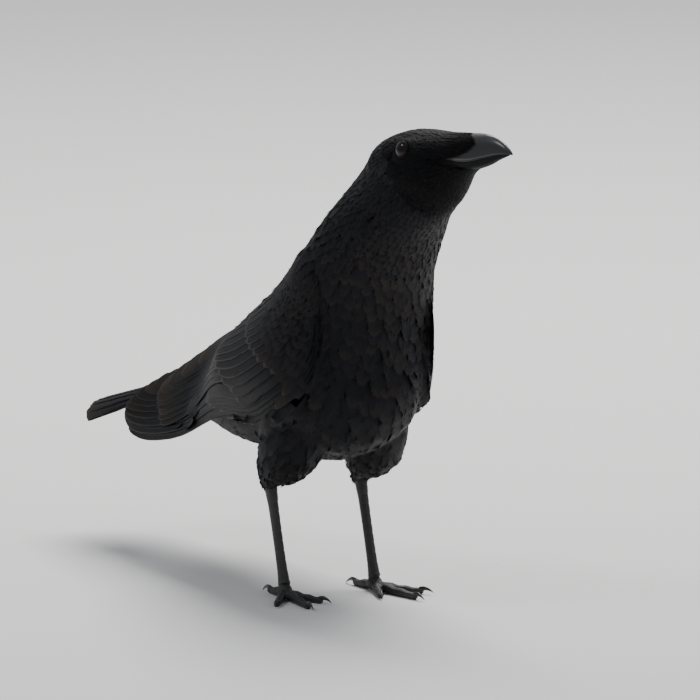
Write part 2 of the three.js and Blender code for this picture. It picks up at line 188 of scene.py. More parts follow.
def solids(names, swell):
    """Points and triangles of some of the solids, each welded and swollen a little."""
    all_points, all_faces, start = [], [], 0
    for name in names:
        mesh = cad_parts[name].data
        raw = read(mesh.vertices, "co", np.float32, 3).astype(float).round(6)
        mesh.calc_loop_triangles()
        tris = read(mesh.loop_triangles, "vertices", np.int32, 3)
        points, where = np.unique(raw, axis=0, return_inverse=True)
        tris = where.reshape(-1)[tris]
        tris = tris[(tris != np.roll(tris, 1, axis=1)).all(1)]
        all_points.append(points + vertex_normals(points, tris) * swell)
        all_faces.append(tris + start)
        start += len(points)
    return np.concatenate(all_points), np.concatenate(all_faces)


def melt(points, faces, grain):
    """One closed skin of small squares round overlapping closed shapes."""
    mesh = bpy.data.meshes.new("melt")
    mesh.from_pydata(points.tolist(), [], faces.tolist())
    body = bpy.data.objects.new("melt", mesh)
    bpy.context.collection.objects.link(body)
    press = body.modifiers.new("Melt", "REMESH")
    press.mode, press.voxel_size = "VOXEL", grain
    made = body.evaluated_get(bpy.context.evaluated_depsgraph_get()).to_mesh()
    spots = read(made.vertices, "co", np.float32, 3).astype(float)
    squares = read(made.loops, "vertex_index", np.int32, 1).reshape(-1, 4)
    bpy.data.objects.remove(body)
    return spots, squares


def edge_ends(faces):
    return np.concatenate([faces[:, [i, (i + 1) % 4]] for i in range(4)])


def sum_round(values, ends):
    """For each point, the sum of its neighbours' values."""
    here, there = ends.T
    return np.stack([np.bincount(here, values[there, k], len(values)) for k in range(3)], 1)


def relax(points, faces, rounds, steps=(0.5, -0.52)):
    """Moves points towards the middle of their neighbours, by each step in turn. One step in
    and a little longer one out evens a surface without shrinking it."""
    ends = edge_ends(faces)
    count = np.bincount(ends[:, 0], minlength=len(points))[:, None]
    for _ in range(rounds):
        for step in steps:
            points = points + step * (sum_round(points, ends) / count - points)
    return points


def form_of(points, faces):
    """What feathers are laid on: a search tree, and an even normal for each face."""
    ends = edge_ends(faces)
    normals = vertex_normals(points, faces)
    for _ in range(FACING_SPREAD):
        normals = unit(normals + unit(sum_round(normals, ends), 1e-9), 1e-9)
    return BVHTree.FromPolygons(points.tolist(), faces.tolist()), unit(normals[faces].mean(1))


def touch(form, points):
    """The nearest place on the form to each point, and the way the form faces there."""
    hits = [form[0].find_nearest(p) for p in points.tolist()]
    return np.array([h[0][:] for h in hits]), form[1][[h[2] for h in hits]]


outer_points, outer_faces = melt(*solids(FLESH + FEATHERED_ONLY + SHANKS, FUSE_SWELL), FORM_GRAIN)
outer_points = relax(outer_points, outer_faces, FORM_ROUNDS)
outer_points -= vertex_normals(outer_points, outer_faces) * FUSE_SWELL


def share_near(place, reach):
    """One at a place on the form, falling to nothing round it."""
    far = np.linalg.norm(outer_points / MM - place, axis=1)
    return np.exp(-((far / reach) ** 2))[:, None]


for place, reach, rounds in EASED:
    outer_points = relax(outer_points, outer_faces, rounds, [0.5 * share_near(place, reach)])
for place, reach, swell in FULLER:
    outward = vertex_normals(outer_points, outer_faces)
    outer_points += outward * share_near(place, reach) * swell * MM
outer_form = form_of(outer_points, outer_faces)

# The head has its own directions: forward along the bill, to its right side, and up.
HEAD_CENTRE = np.array([137.5, 8, 244.5]) * MM
HEAD_TURN, HEAD_TIP = math.radians(12), math.radians(10)
head_level = np.array([math.cos(HEAD_TURN), math.sin(HEAD_TURN), 0])
head_forward = head_level * math.cos(HEAD_TIP) + np.array([0, 0, math.sin(HEAD_TIP)])
head_right = np.array([math.sin(HEAD_TURN), -math.cos(HEAD_TURN), 0])
head_up = np.cross(head_right, head_forward)
head_axes = np.stack([head_forward, head_right, head_up])


def on_head(points):
    """Forward, right and up from the middle of the head, in millimetres."""
    return (np.asarray(points) - HEAD_CENTRE) @ head_axes.T / MM


def from_head(forward, right, up):
    return HEAD_CENTRE + np.stack(np.broadcast_arrays(forward, right, up), -1) @ head_axes * MM


def smooth_step(low, high, x):
    t = np.clip((x - low) / (high - low), 0, 1)
    return t * t * (3 - 2 * t)


# ---------- skin ----------
# Black, thin, loose skin over flesh: one closed surface from the face to the feet. It lies
# under the feathers by their depth, sinks into the bill at the gape and rings the eyes.
SKIN_GRAIN, SKIN_ROUNDS = 1.4 * MM, 12
UNDER_COAT, UNDER_FACE, UNDER_THIGH, UNDER_EYE = 4.2, 1.3, 2.0, 0.9  # millimetres
SOCKET_DEPTH = 2.6  # behind the lids
EYE_FORWARD, EYE_SIDE, EYE_UP, EYE_RADIUS = -1.4, 12.8, 7.1, 6.6
EYE_FACING = np.array([0.12, 0.94, 0.33])  # forward, outward, up
LID_OPENING = math.radians(49)
GAPE_FORWARD, GAPE_UP = 34, 2.6  # where the skin runs into the bill

eye_facing = {}
eye_centre = {}
for side, sign in (("right", 1), ("left", -1)):
    eye_centre[side] = from_head(EYE_FORWARD, sign * EYE_SIDE, EYE_UP)
    eye_facing[side] = unit((EYE_FACING * [1, sign, 1]) @ head_axes)


def round_the_eye(points):
    """Distance from the nearer eye's middle in millimetres, and angle off the way it looks."""
    far, off = np.full(len(points), 99.0), np.full(len(points), math.pi)
    for side in eye_centre:
        away = points - eye_centre[side]
        distance = np.linalg.norm(away, axis=1)
        angle = np.arccos(np.clip(away @ eye_facing[side] / np.maximum(distance, 1e-9), -1, 1))
        nearer = distance / MM < far
        far = np.where(nearer, distance / MM, far)
        off = np.where(nearer, angle, off)
    return far, off


skin_points, skin_faces = melt(*solids(FLESH, FUSE_SWELL), SKIN_GRAIN)
skin_points = relax(skin_points, skin_faces, SKIN_ROUNDS)
forward = on_head(skin_points)[:, 0]
high = skin_points[:, 2] / MM
eye_far, eye_off = round_the_eye(skin_points)
on_face = smooth_step(-34, -14, forward) * smooth_step(208, 222, high)
depth = UNDER_COAT + (UNDER_FACE - UNDER_COAT) * on_face
depth += (UNDER_THIGH - depth) * smooth_step(80, 62, high)
depth += (UNDER_EYE - depth) * smooth_step(11, 8.5, eye_far)
depth += SOCKET_DEPTH * (eye_off < LID_OPENING * 0.93) * (eye_far < 9)
skin_points -= vertex_normals(skin_points, skin_faces) * (depth[:, None] * MM + FUSE_SWELL)
skin_points = relax(skin_points, skin_faces, 2)
forward, right, up = on_head(skin_points).T
thinner = 1 - 0.45 * smooth_step(GAPE_FORWARD, 46, forward)
shortened = forward - 0.6 * np.maximum(0, forward - 42)
drawn_in = from_head(shortened, right * thinner, GAPE_UP + (up - GAPE_UP) * thinner)
skin_points = np.where((forward > GAPE_FORWARD)[:, None], drawn_in, skin_points)


# ---------- legs, feet and their scales ----------
# Bare legs with broad plates down the front of the shank and small plates along the top of
# each toe. Small scales cover the back of the shank, and the soles are smooth.
LEG_GRAIN, LEG_ROUNDS = 0.5 * MM, 5
FOOT_X, FOOT_SIDE, FOOT_TOP = 40.5, 27.0, 5
ANKLE_X, ANKLE_Z = 23.5, 60.5
SHANK_PLATE, SHANK_SCALE, TOE_PLATE = 5.2, 2.6, 2.3  # length of one
SHANK_PLATE_RISE, SHANK_SCALE_RISE, TOE_PLATE_RISE = 0.2, 0.07, 0.16
TOE_TURN_OUT = 6
TOES = {1: (178, 19, 15), 2: (-27, 25, 11), 3: (2, 36, 12), 4: (31, 27, 10.5)}  # angle, toe, claw


def plate(distance, length):
    """Height of overlapping plates: domed, with a narrow groove between them."""
    place = (distance / length) % 1
    return 1 - np.abs(2 * place - 1) ** 5 + 0.5 * place


def toe_way(toe, sign):
    angle = math.radians(TOES[toe][0] + TOE_TURN_OUT)
    return np.array([math.cos(angle), -sign * math.sin(angle), 0])


leg_points, leg_faces = [], []
for side, sign in (("right", 1), ("left", -1)):
    points, faces = melt(*solids([f"tarsus_{side}", f"foot_{side}"], FUSE_SWELL), LEG_GRAIN)
    points = relax(points, faces, LEG_ROUNDS)
    normals = vertex_normals(points, faces)
    from_hub = points / MM - np.array([FOOT_X, -sign * FOOT_SIDE, 0])
    high = points[:, 2] / MM
    shank_way = unit(np.array([ANKLE_X - FOOT_X, 0, ANKLE_Z - FOOT_TOP]))
    height = (from_hub - [0, 0, FOOT_TOP]) @ shank_way
    fronting = smooth_step(-0.15, 0.15, normals @ [shank_way[2], 0, -shank_way[0]])
    scales = fronting * plate(-height, SHANK_PLATE) * SHANK_PLATE_RISE
    scales += (1 - fronting) * plate(-height, SHANK_SCALE) * SHANK_SCALE_RISE
    rise = smooth_step(FOOT_TOP, 8, high) * scales
    ways = [toe_way(toe, sign) for toe in TOES]
    reach = np.stack([from_hub @ way for way in ways], 1)
    aside = np.stack([np.abs(from_hub @ np.cross(way, [0, 0, 1])) for way in ways], 1)
    best = (aside + 50 * (reach < 0)).argmin(1)
    distance = reach[np.arange(len(reach)), best]
    on_toe = smooth_step(7, 5, high) * smooth_step(0.0, 0.35, normals[:, 2])
    rise += on_toe * smooth_step(3, 5, distance) * plate(distance, TOE_PLATE) * TOE_PLATE_RISE
    sole = smooth_step(0.6, 1.4, high)
    points += normals * (rise * sole)[:, None] * MM - normals * FUSE_SWELL * 0.8
    points[:, 2] = np.maximum(points[:, 2], 0.0)
    leg_faces.append(faces + sum(len(p) for p in leg_points))
    leg_points.append(points)
leg_points, leg_faces = np.concatenate(leg_points), np.concatenate(leg_faces)


def full_turn(sides):
    return np.linspace(0, 2 * math.pi, sides, endpoint=False)


def tube_faces(rings, sides):
    i, j = np.meshgrid(np.arange(rings - 1), np.arange(sides), indexing="ij")
    k = (j + 1) % sides
    quads = np.stack([i * sides + j, i * sides + k, (i + 1) * sides + k, (i + 1) * sides + j], -1)
    return quads.reshape(-1, 4)


LID_TURNS, LID_SIDES = 72, 10


def lid(side, off, width, lift):
    """A soft fold of bare skin round the eye, a little longer than high."""
    facing = eye_facing[side]
    ahead = unit(head_forward - facing * (head_forward @ facing))
    above = np.cross(ahead, facing) * (1 if side == "left" else -1)
    turn = full_turn(LID_TURNS)[:, None]
    lean = off * (1 + 0.07 * np.cos(2 * turn) - 0.05 * np.maximum(0, np.sin(turn)))
    out = ahead * np.cos(turn) + above * np.sin(turn)
    ray = facing * np.cos(lean) + out * np.sin(lean)
    along = out * np.cos(lean) - facing * np.sin(lean)
    centre = eye_centre[side] + ray * (EYE_RADIUS + lift) * MM
    a = full_turn(LID_SIDES)[:, None]
    fold = ray[:, None] * np.cos(a) * 0.55 + along[:, None] * np.sin(a)
    points = (centre[:, None] + fold * width * MM).reshape(-1, 3)
    return points, tube_faces(LID_TURNS + 1, LID_SIDES) % len(points)


parts = [(skin_points, skin_faces, 0), (leg_points, leg_faces, 1)]  # and each part's finish
for side in ("right", "left"):
    parts.append((*lid(side, LID_OPENING, 0.5, 0.1), 2))
    parts.append((*lid(side, LID_OPENING + math.radians(8), 0.7, -0.05), 2))


def mesh_from(name, points, faces):
    """A mesh object riding on the bird. Faces may be a list of arrays of equal-sided faces."""
    groups = faces if isinstance(faces, list) else [faces]
    mesh = bpy.data.meshes.new(name)
    mesh.from_pydata(np.asarray(points).tolist(), [], [f for g in groups for f in g.tolist()])
    mesh.polygons.foreach_set("use_smooth", np.ones(len(mesh.polygons), bool))
    made = bpy.data.objects.new(name, mesh)
    bpy.context.collection.objects.link(made)
    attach(made, "root")
    return made


start = 0
joined_points, joined_faces, finish_of = [], [], []
for points, faces, which in parts:
    joined_points.append(points)
    joined_faces.append(faces + start)
    finish_of.append(np.full(len(faces), which, np.int32))
    start += len(points)
joined_points, joined_faces = np.concatenate(joined_points), np.concatenate(joined_faces)
skin = mesh_from("skin", joined_points, joined_faces)
skin.data.polygons.foreach_set("material_index", np.concatenate(finish_of))
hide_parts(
    "trunk", "neck", "head", "thigh_right", "thigh_left", "tarsus_right", "tarsus_left",
    "foot_right", "foot_left",
)


def bumped(tree, height, strength, distance, **settings):
    feeds = {"Height": height, "Strength": strength, "Distance": distance}
    return node(tree, "Bump", feeds, **settings).outputs[0]


def calc(tree, operation, *values):
    return node(tree, "Math", enumerate(values), operation=operation).outputs[0]


def weighed(tree, total, *terms):
    """A number or socket, and after it other sockets, each times its own share."""
    for value, share in terms:
        total = calc(tree, "MULTIPLY_ADD", value, share, total)
    return total


def remap(tree, value, old, new):
    feeds = {"Value": value, "From Min": old[0], "From Max": old[1], "To Min": new[0], "To Max": new[1]}
    return node(tree, "MapRange", feeds).outputs[0]


bare_skin, tree, shader = finish_named("bare_skin", {"Roughness": 0.62, "Specular IOR Level": 0.12})
crease = noise(tree, 900.0, 4.0, 0.6)
tone = ramp(tree, crease, (0, (0.002, 0.002, 0.0023)), (1, (0.006, 0.0058, 0.006)))
feed(tree, shader, {"Base Color": tone, "Normal": bumped(tree, crease, 0.3, 0.0003)})

leg_skin, tree, shader = finish_named("leg_skin", {"Specular IOR Level": 0.55})
net = node(tree, "TexVoronoi", {"Scale": 1100.0}, feature="DISTANCE_TO_EDGE").outputs["Distance"]
grime = noise(tree, 260.0, 5.0, 0.65)
relief = weighed(tree, grime, (calc(tree, "MINIMUM", net, 0.12), 6.0))
tone = ramp(tree, grime, (0.35, (0.008, 0.008, 0.009)), (0.75, (0.034, 0.032, 0.031)))
feed(tree, shader, {
    "Base Color": tone, "Roughness": remap(tree, grime, (0.3, 0.7), (0.38, 0.62)),
    "Normal": bumped(tree, relief, 0.45, 0.00016),
})

lid_skin, tree, shader = finish_named("lid_skin", {"Roughness": 0.75, "Specular IOR Level": 0.12})
beads = node(tree, "TexVoronoi", {"Scale": 2200.0}).outputs["Distance"]
tone = ramp(tree, beads, (0, (0.004, 0.004, 0.004)), (1, (0.011, 0.010, 0.011)))
feed(tree, shader, {"Base Color": tone, "Normal": bumped(tree, beads, 0.4, 0.0002, invert=True)})
for finish in (bare_skin, leg_skin, lid_skin):
    skin.data.materials.append(finish)


# ---------- eyes ----------
# A dark brown iris round a wide black pupil, under a clear wet cornea that stands a little
# proud of the lids. Only the front of the ball shows; its back lies flat in the socket.
CORNEA_RISE, CORNEA_EDGE = 0.35, math.radians(44)
BALL_EDGE = math.radians(58)
EYE_RINGS, EYE_TURNS = 20, 40
WET_FROM, WET_TO = 3.7, 4.5  # where the wet cornea gives way to dull skin, from the middle
BACK_SPREAD = 5.6
PUPIL, IRIS, TONE_SPAN = 2.5, 4.6, 6.0  # radii
EYE_TONES = (
    (PUPIL / TONE_SPAN, (0.0015, 0.0015, 0.0015)),
    (PUPIL / TONE_SPAN + 0.09, (0.006, 0.0035, 0.0024)),
    (0.68, (0.008, 0.0048, 0.0032)),
    (IRIS / TONE_SPAN + 0.1, (0.002, 0.002, 0.002)),
    (0.98, (0.003, 0.003, 0.003)),
)


def note(piece, **values):
    """Writes a number or a direction on each point of a mesh, for its finish to read."""
    for name, value in values.items():
        kind, key = ("FLOAT", "value") if np.ndim(value) == 1 else ("FLOAT_VECTOR", "vector")
        layer = piece.data.attributes.new(name, kind, "POINT")
        layer.data.foreach_set(key, np.ravel(value).astype(np.float32))


def noted(tree, name, output="Fac"):
    return node(tree, "Attribute", attribute_name=name).outputs[output]


for side in ("right", "left"):
    facing = eye_facing[side]
    ahead = unit(np.cross(facing, [0, 0, 1]))
    above = np.cross(facing, ahead)
    off = BALL_EDGE * np.arange(1, EYE_RINGS + 1)[:, None, None] / EYE_RINGS
    turn = full_turn(EYE_TURNS)[:, None]
    swell = CORNEA_RISE * np.maximum(0, 1 - (off / CORNEA_EDGE) ** 2)
    ray = facing * np.cos(off) + (ahead * np.cos(turn) + above * np.sin(turn)) * np.sin(off)
    front = (ray * (EYE_RADIUS + swell)).reshape(-1, 3)
    around = np.concatenate([[facing * (EYE_RADIUS + CORNEA_RISE)], front, [-facing]])
    points = eye_centre[side] + around * MM
    last, rim = len(points) - 1, 1 + (EYE_RINGS - 1) * EYE_TURNS
    j = np.arange(EYE_TURNS)
    k = (j + 1) % EYE_TURNS
    fans = np.concatenate([np.stack([0 * j, 1 + k, 1 + j], 1), np.stack([0 * j + last, rim + j, rim + k], 1)])
    eye = mesh_from(f"eyeball_{side}", points, [1 + tube_faces(EYE_RINGS, EYE_TURNS), fans])
    spread = np.linalg.norm(around - np.outer(around @ facing, facing), axis=1)
    spread[last] = BACK_SPREAD
    note(eye, spread=spread)
    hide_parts(f"eye_{side}")

    plain = {"Coat Roughness": 0.03, "Specular IOR Level": 0.1}
    wet_eye, tree, shader = finish_named(f"wet_eye_{side}", plain)
    radius = noted(tree, "spread")
    blur = weighed(tree, radius, (noise(tree, 1500.0, 3.0), 0.5))
    feed(tree, shader, {
        "Coat Weight": remap(tree, radius, (WET_FROM, WET_TO), (0.4, 0.0)),
        "Roughness": remap(tree, radius, (WET_FROM, WET_TO), (0.12, 0.7)),
        "Base Color": ramp(tree, calc(tree, "DIVIDE", blur, TONE_SPAN), *EYE_TONES),
    })
    eye.data.materials.append(wet_eye)


# ---------- bill ----------
# Two horn sheaths, worn smooth. The upper has a ridge along its top and a small overhang at
# the point, its cutting edges close over the lower one, and both run back under the face.
# A pale highlight is painted along the ridge of the upper sheath, and a weaker one on the lower.
BILL_UPPER = np.array(
    [
        [16, 9.5, 1.6, 11.0], [21, 10.6, 1.2, 10.9], [27, 12.0, 0.2, 10.0], [33, 12.7, -1.1, 8.8],
        [41, 12.6, -1.8, 7.3], [50, 11.5, -0.9, 5.3], [57, 9.3, -0.1, 3.8], [62, 6.3, 0.1, 2.7],
        [65.6, 3.1, -0.2, 1.6], [67.9, 0.5, -0.7, 0.45],
    ]
)  # forward, top, bottom, half width
BILL_LOWER = np.array(
    [
        [16, 1.9, -6.4, 10.0], [21, 1.5, -6.9, 10.1], [27, 0.7, -7.3, 9.2], [33, -0.5, -7.1, 8.0],
        [41, -1.2, -6.3, 6.5], [50, -0.2, -4.8, 4.6], [57, 0.5, -2.8, 3.1], [62, 0.7, -1.6, 1.9],
        [65.2, 0.4, -0.95, 0.75],
    ]
)
BILL_RINGS, BILL_SIDES = 90, 44


def eased(stations, t):
    """Smooth values between stations, at places t from 0 to 1 along them."""
    last = len(stations) - 1
    at = np.clip(np.asarray(t, float), 0, 1) * last
    i = np.minimum(at.astype(int), last - 1)
    f = (at - i)[..., None]
    a, b, c, d = (stations[np.clip(i + k, 0, last)] for k in (-1, 0, 1, 2))
    return b + 0.5 * f * (c - a + f * (2 * a - 5 * b + 4 * c - d + f * (3 * (b - c) + d - a)))


def capped(rings, sides):
    """Faces of a tube closed by one face at each end."""
    first = np.arange(sides)[::-1][None]
    return [tube_faces(rings, sides), first, (rings - 1) * sides + first[:, ::-1]]


def mark_group(name, inputs, outputs):
    """A node group of numbers, with its entry and its exit."""
    made = bpy.data.node_groups.new(name, "ShaderNodeTree")
    for label, value in inputs:
        socket = made.interface.new_socket(label, in_out="INPUT", socket_type="NodeSocketFloat")
        socket.default_value = value
    for label in outputs:
        made.interface.new_socket(label, in_out="OUTPUT", socket_type="NodeSocketFloat")
    return made, made.nodes.new("NodeGroupInput").outputs, made.nodes.new("NodeGroupOutput")


def marks_in(tree, group, feeds=()):
    made = tree.nodes.new("ShaderNodeGroup")
    made.node_tree = group
    feed(tree, made, feeds)
    return made.outputs


def mixed(tree, share, first, second):
    """One colour running into another."""
    return node(tree, "Mix", {"Factor": share, 6: first, 7: second}, data_type="RGBA").outputs[2]


horn_marks, entry, leave = mark_group("horn_marks", (("Grain", 500.0), ("Stretch", 6.0)), ("Growth", "Wear"))
lengthwise = noted(horn_marks, "horn_place", "Vector")
split = node(horn_marks, "SeparateXYZ", {0: lengthwise}).outputs
drawn = node(horn_marks, "CombineXYZ", {
    "X": split["X"], "Y": calc(horn_marks, "MULTIPLY", split["Y"], entry["Stretch"]),
    "Z": calc(horn_marks, "MULTIPLY", split["Z"], entry["Stretch"]),
}).outputs[0]
feed(horn_marks, leave, {
    "Growth": noise(horn_marks, entry["Grain"], 6.0, 0.6, Vector=drawn),
    "Wear": noise(horn_marks, 120.0, 3.0, Vector=lengthwise),
})


def horn_finish(name, dark, pale, gloss, shine=0.5, polish=0.3):
    """Black horn, paler where it is worn and where a highlight is painted on, with fine lines along it."""
    plain = {"Specular IOR Level": shine, "Coat Weight": polish, "Coat Roughness": 0.22}
    made, tree, shader = finish_named(name, plain)
    marks = marks_in(tree, horn_marks)
    rub = noted(tree, "rub")
    # Paler where the horn is worn, and on the bill also where a highlight is painted along its top.
    worn = weighed(tree, -0.15, (marks["Growth"], 0.5), (rub, 0.9))
    wear_and_highlight_roughening = calc(tree, "ADD", marks["Wear"], rub)
    feed(tree, shader, {
        "Base Color": mixed(tree, worn, (*dark, 1), (*pale, 1)),
        "Roughness": remap(tree, wear_and_highlight_roughening, (0.3, 1.3), (gloss - 0.05, gloss + 0.2)),
        "Normal": bumped(tree, marks["Growth"], 0.22, 0.0002),
    })
    return made


upper_tones = (0.003, 0.0032, 0.004), (0.022, 0.024, 0.028)
# Painted shade: the lower sheath gets darker tones than the upper, as if in shade under the bill.
lower_painted_shade_tones = (0.0025, 0.0026, 0.003), (0.010, 0.011, 0.013)
claw_tones = (0.005, 0.005, 0.0055), (0.030, 0.028, 0.026)
bill_horn = horn_finish("bill_horn", *upper_tones, 0.36, 0.3, 0.8)
bill_horn_low_painted_shade = horn_finish("bill_horn_low_painted_shade", *lower_painted_shade_tones, 0.5, 0.12, 0.0)
claw_horn = horn_finish("claw_horn", *claw_tones, 0.32)


def horn_piece(name, points, rings, sides, rub, place, finish, stands_for):
    """A capped tube of horn, with its wear and painted highlight and its place lengthwise at each point."""
    made = mesh_from(name, points, capped(rings, sides))
    note(made, rub=rub.ravel(), horn_place=place * MM)
    made.data.materials.append(finish)
    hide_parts(stands_for)


for name, stations, upper in (("bill_upper", BILL_UPPER, True), ("bill_lower", BILL_LOWER, False)):
    t = np.linspace(0, 1, BILL_RINGS)
    ahead, top, bottom, half = eased(stations, t).T[..., None]
    turn = full_turn(BILL_SIDES)
    across = np.sign(np.sin(turn)) * np.abs(np.sin(turn)) ** 0.85
    arch = np.sqrt(np.maximum(0, 1 - np.abs(across) ** 2.1))
    ridge = 0.05 * np.exp(-((across / 0.16) ** 2))
    on_top = np.cos(turn) > 0
    bulk = (top - bottom) * np.where(on_top, arch * 0.95 + ridge, 0.09 * arch)
    rise = bottom + bulk if upper else top - bulk
    side_to = half * across * (1 if upper else -1)
    points = from_head(ahead, side_to, rise).reshape(-1, 3)
    t = t[:, None]
    edge_wear = np.exp(-(((1 - np.abs(across)) / 0.10) ** 2)) * (0.4 + 0.6 * t) * 0.3
    tip_wear = smooth_step(0.86, 1.0, t) * 0.6
    # Painted highlight: the top of the bill is made paler along its ridge, where light falls on it.
    painted_culmen_highlight = np.exp(-((across / 0.25) ** 2)) * on_top * smooth_step(0.3, 0.5, t) * 0.8
    rub = np.clip(edge_wear + tip_wear + painted_culmen_highlight * (1 if upper else 0.3), 0, 1)
    finish = bill_horn if upper else bill_horn_low_painted_shade
    horn_piece(f"{name}_horn", points, BILL_RINGS, BILL_SIDES, rub, on_head(points), finish, name)


# ---------- claws ----------
# Black curved horn on each toe, deeper than wide, hollowed a little below and sharp. Each
# grows out of the last plate of its toe and its point comes down to the floor.
CLAW_ROOT, CLAW_POINT, CLAW_NARROW, CLAW_DEEP = 1.8, 0.18, 0.72, 1.05
CLAW_RINGS, CLAW_SIDES = 24, 18
CLAW_BEND, HIND_CLAW_BEND = math.radians(68), math.radians(78)

for side, sign in (("right", 1), ("left", -1)):
    hub = np.array([FOOT_X, -sign * FOOT_SIDE, 0])
    for toe, (_, length, claw) in TOES.items():
        way = toe_way(toe, sign)
        bend = HIND_CLAW_BEND if toe == 1 else CLAW_BEND
        arc = claw / bend
        f = np.linspace(0, 1, CLAW_RINGS)[:, None]
        radius = CLAW_ROOT + (CLAW_POINT - CLAW_ROOT) * f**0.75
        lift = 2.1 + 1.5 * np.sin(np.minimum(1, 2.4 * f) * math.pi / 2)
        lift = np.maximum(lift - arc * (1 - np.cos(f * bend)) * 0.42, radius + 0.05)
        reach = length - 0.9 + arc * np.sin(f * bend)
        turn = full_turn(CLAW_SIDES)
        hollow = np.where(np.cos(turn) < 0, 0.86, 1.0)
        aside = radius * np.sin(turn) * CLAW_NARROW
        high = np.maximum(lift + radius * np.cos(turn) * hollow * CLAW_DEEP, 0)
        place = np.stack(np.broadcast_arrays(reach, aside, high), -1).reshape(-1, 3)
        points = hub + place @ np.array([way, [-way[1], way[0], 0], [0, 0, 1]])
        rub = np.repeat(smooth_step(0.7, 1, f), CLAW_SIDES)
        horn_piece(
            f"nail_{side}_{toe}", points * MM, CLAW_RINGS, CLAW_SIDES, rub, place, claw_horn,
            f"claw_{side}_{toe}",
        )


# ---------- body plumage ----------
# Thousands of small soft black feathers, each with a shaft and two webs of barbs that come
# loose at the tip. They grow in tracts, point away from the bill, and lie tile on tile.
SPINE = np.array(
    [
        [203, 22, 257], [166, 14, 253], [138, 8, 244], [118, 6, 225], [101, 3, 206], [85, 1, 183],
        [75, 0, 160], [62, 0, 137], [42, 0, 121], [14, 0, 110], [-20, 0, 101], [-60, 0, 96],
        [-100, 0, 91], [-150, 0, 80], [-205, 0, 67],
    ]
) * MM  # a line through the middle of the bird, from the bill's point to the tail's
SPINE_STEPS = 260


def dots(a, b):
    return np.einsum("...j,...j->...", a, b)


def tree_of(points):
    made = KDTree(len(points))
    for i, p in enumerate(points.tolist()):
        made.insert(p, i)
    made.balance()
    return made


def length_along(points):
    """How far along a line each of its points lies, in millimetres."""
    return np.concatenate([[0], np.cumsum(np.linalg.norm(np.diff(points, axis=0), axis=1))]) / MM


spine = eased(SPINE, np.linspace(0, 1, SPINE_STEPS))
spine_way = unit(np.gradient(spine, axis=0))
spine_far = length_along(spine)
spine_back = unit(np.cross(spine_way, [0, 1, 0]))
spine_tree = tree_of(spine)


def on_spine(points):
    """For each point: its place along the spine, and its angle round from the back, + to the right."""
    near = np.array([spine_tree.find(p)[1] for p in points.tolist()])
    away = points - spine[near]
    return near, np.arctan2(-away[:, 1], dots(away, spine_back[near]))


THIGH_TOP, THIGH_END, THIGH_SIDE = np.array([50, 0, 105]), np.array([24, 0, 60]), 24
thigh_line = THIGH_END - THIGH_TOP
PART_BY = 0.22  # how far the feathers of the back lean out from its middle


def lie(points):
    """The way that feathers point at each place on the body."""
    near, angle = on_spine(points)
    way, far = spine_way[near].copy(), spine_far[near]
    outward = np.sign(-points[:, 1]) * np.exp(-(((np.abs(angle) - 0.6) / 0.35) ** 2))
    way[:, 1] -= PART_BY * outward * smooth_step(170, 215, far) * smooth_step(330, 280, far)
    mm = points / MM
    along = np.clip((mm - THIGH_TOP) @ thigh_line / np.sum(thigh_line**2), -0.3, 1)
    beside = mm - THIGH_TOP - along[:, None] * thigh_line
    beside[:, 1] = np.abs(mm[:, 1]) - THIGH_SIDE
    leg = smooth_step(26, 15, np.linalg.norm(beside, axis=1)) * smooth_step(96, 80, mm[:, 2])
    return unit(way + leg[:, None] * (unit(thigh_line) * 1.4 - way))


TRIES = 4.5  # for each root that fits


def scatter(points, faces, gap_of, chance):
    """Roots spread evenly over some faces, about gap_of(points) metres apart."""
    tris = np.concatenate([faces[:, [0, 1, 2]], faces[:, [0, 2, 3]]])
    a, b, c = (points[tris[:, k]] for k in range(3))
    area = np.linalg.norm(np.cross(b - a, c - a), axis=1) / 2
    share = area / gap_of((a + b + c) / 3) ** 2
    tries = int(share.sum() * TRIES)
    pick = chance.choice(len(tris), tries, p=share / share.sum())
    r, s = chance.random(tries), chance.random(tries)
    r, s = np.where(r + s > 1, 1 - r, r), np.where(r + s > 1, 1 - s, s)
    places = a[pick] + (b - a)[pick] * r[:, None] + (c - a)[pick] * s[:, None]
    gaps = gap_of(places)
    near = tree_of(places)
    taken = np.zeros(tries, bool)
    kept = []
    for i in range(tries):
        if not taken[i]:
            kept.append(i)
            for _, j, _ in near.find_range(places[i], gaps[i]):
                taken[j] = True
    return places[kept]


def grid_faces(rows, cols):
    i, j = np.meshgrid(np.arange(rows - 1), np.arange(cols - 1), indexing="ij")
    corner = i * cols + j
    return np.stack([corner, corner + 1, corner + cols + 1, corner + cols], -1).reshape(-1, 4)


def feather_faces(count, rows, cols):
    """Faces of many like feathers: a grid each, with a loose point between columns at the tip."""
    edge = (rows - 1) * cols + np.arange(cols - 1)
    tips = np.stack([edge, edge + 1, edge + cols], -1)
    size = rows * cols + cols - 1
    step = (np.arange(count) * size)[:, None, None]
    return (grid_faces(rows, cols) + step).reshape(-1, 4), (tips + step).reshape(-1, 3), size


def lay_maps(piece, **maps):
    """UV maps, each from one place per point."""
    corner = read(piece.data.loops, "vertex_index", np.int32, 1)[:, 0]
    for name, places in maps.items():
        layer = piece.data.uv_layers.new(name=name)
        layer.data.foreach_set("uv", places[corner].ravel().astype(np.float32))


HUG = 0.88  # how far the web bends to follow the body across its breadth
UNEVEN = 0.012  # chance rise of each point, as a share of the breadth
LOOSE_LEAN, LOOSE_STRAY = 0.55, 0.10  # of the barbs at the tip
MAP_LENGTH, MAP_HALF_BREADTH = 0.003, 0.0015  # of one feather's patch in OFBake


def even_out(grid, axis):
    """A web is springy: along one axis of its grid, each point takes half from its neighbours."""
    first, last = np.take(grid, [0], axis), np.take(grid, [-1], axis)
    before = np.concatenate([first, np.delete(grid, -1, axis)], axis)
    after = np.concatenate([np.delete(grid, 0, axis), last], axis)
    return grid / 2 + (before + after) / 4


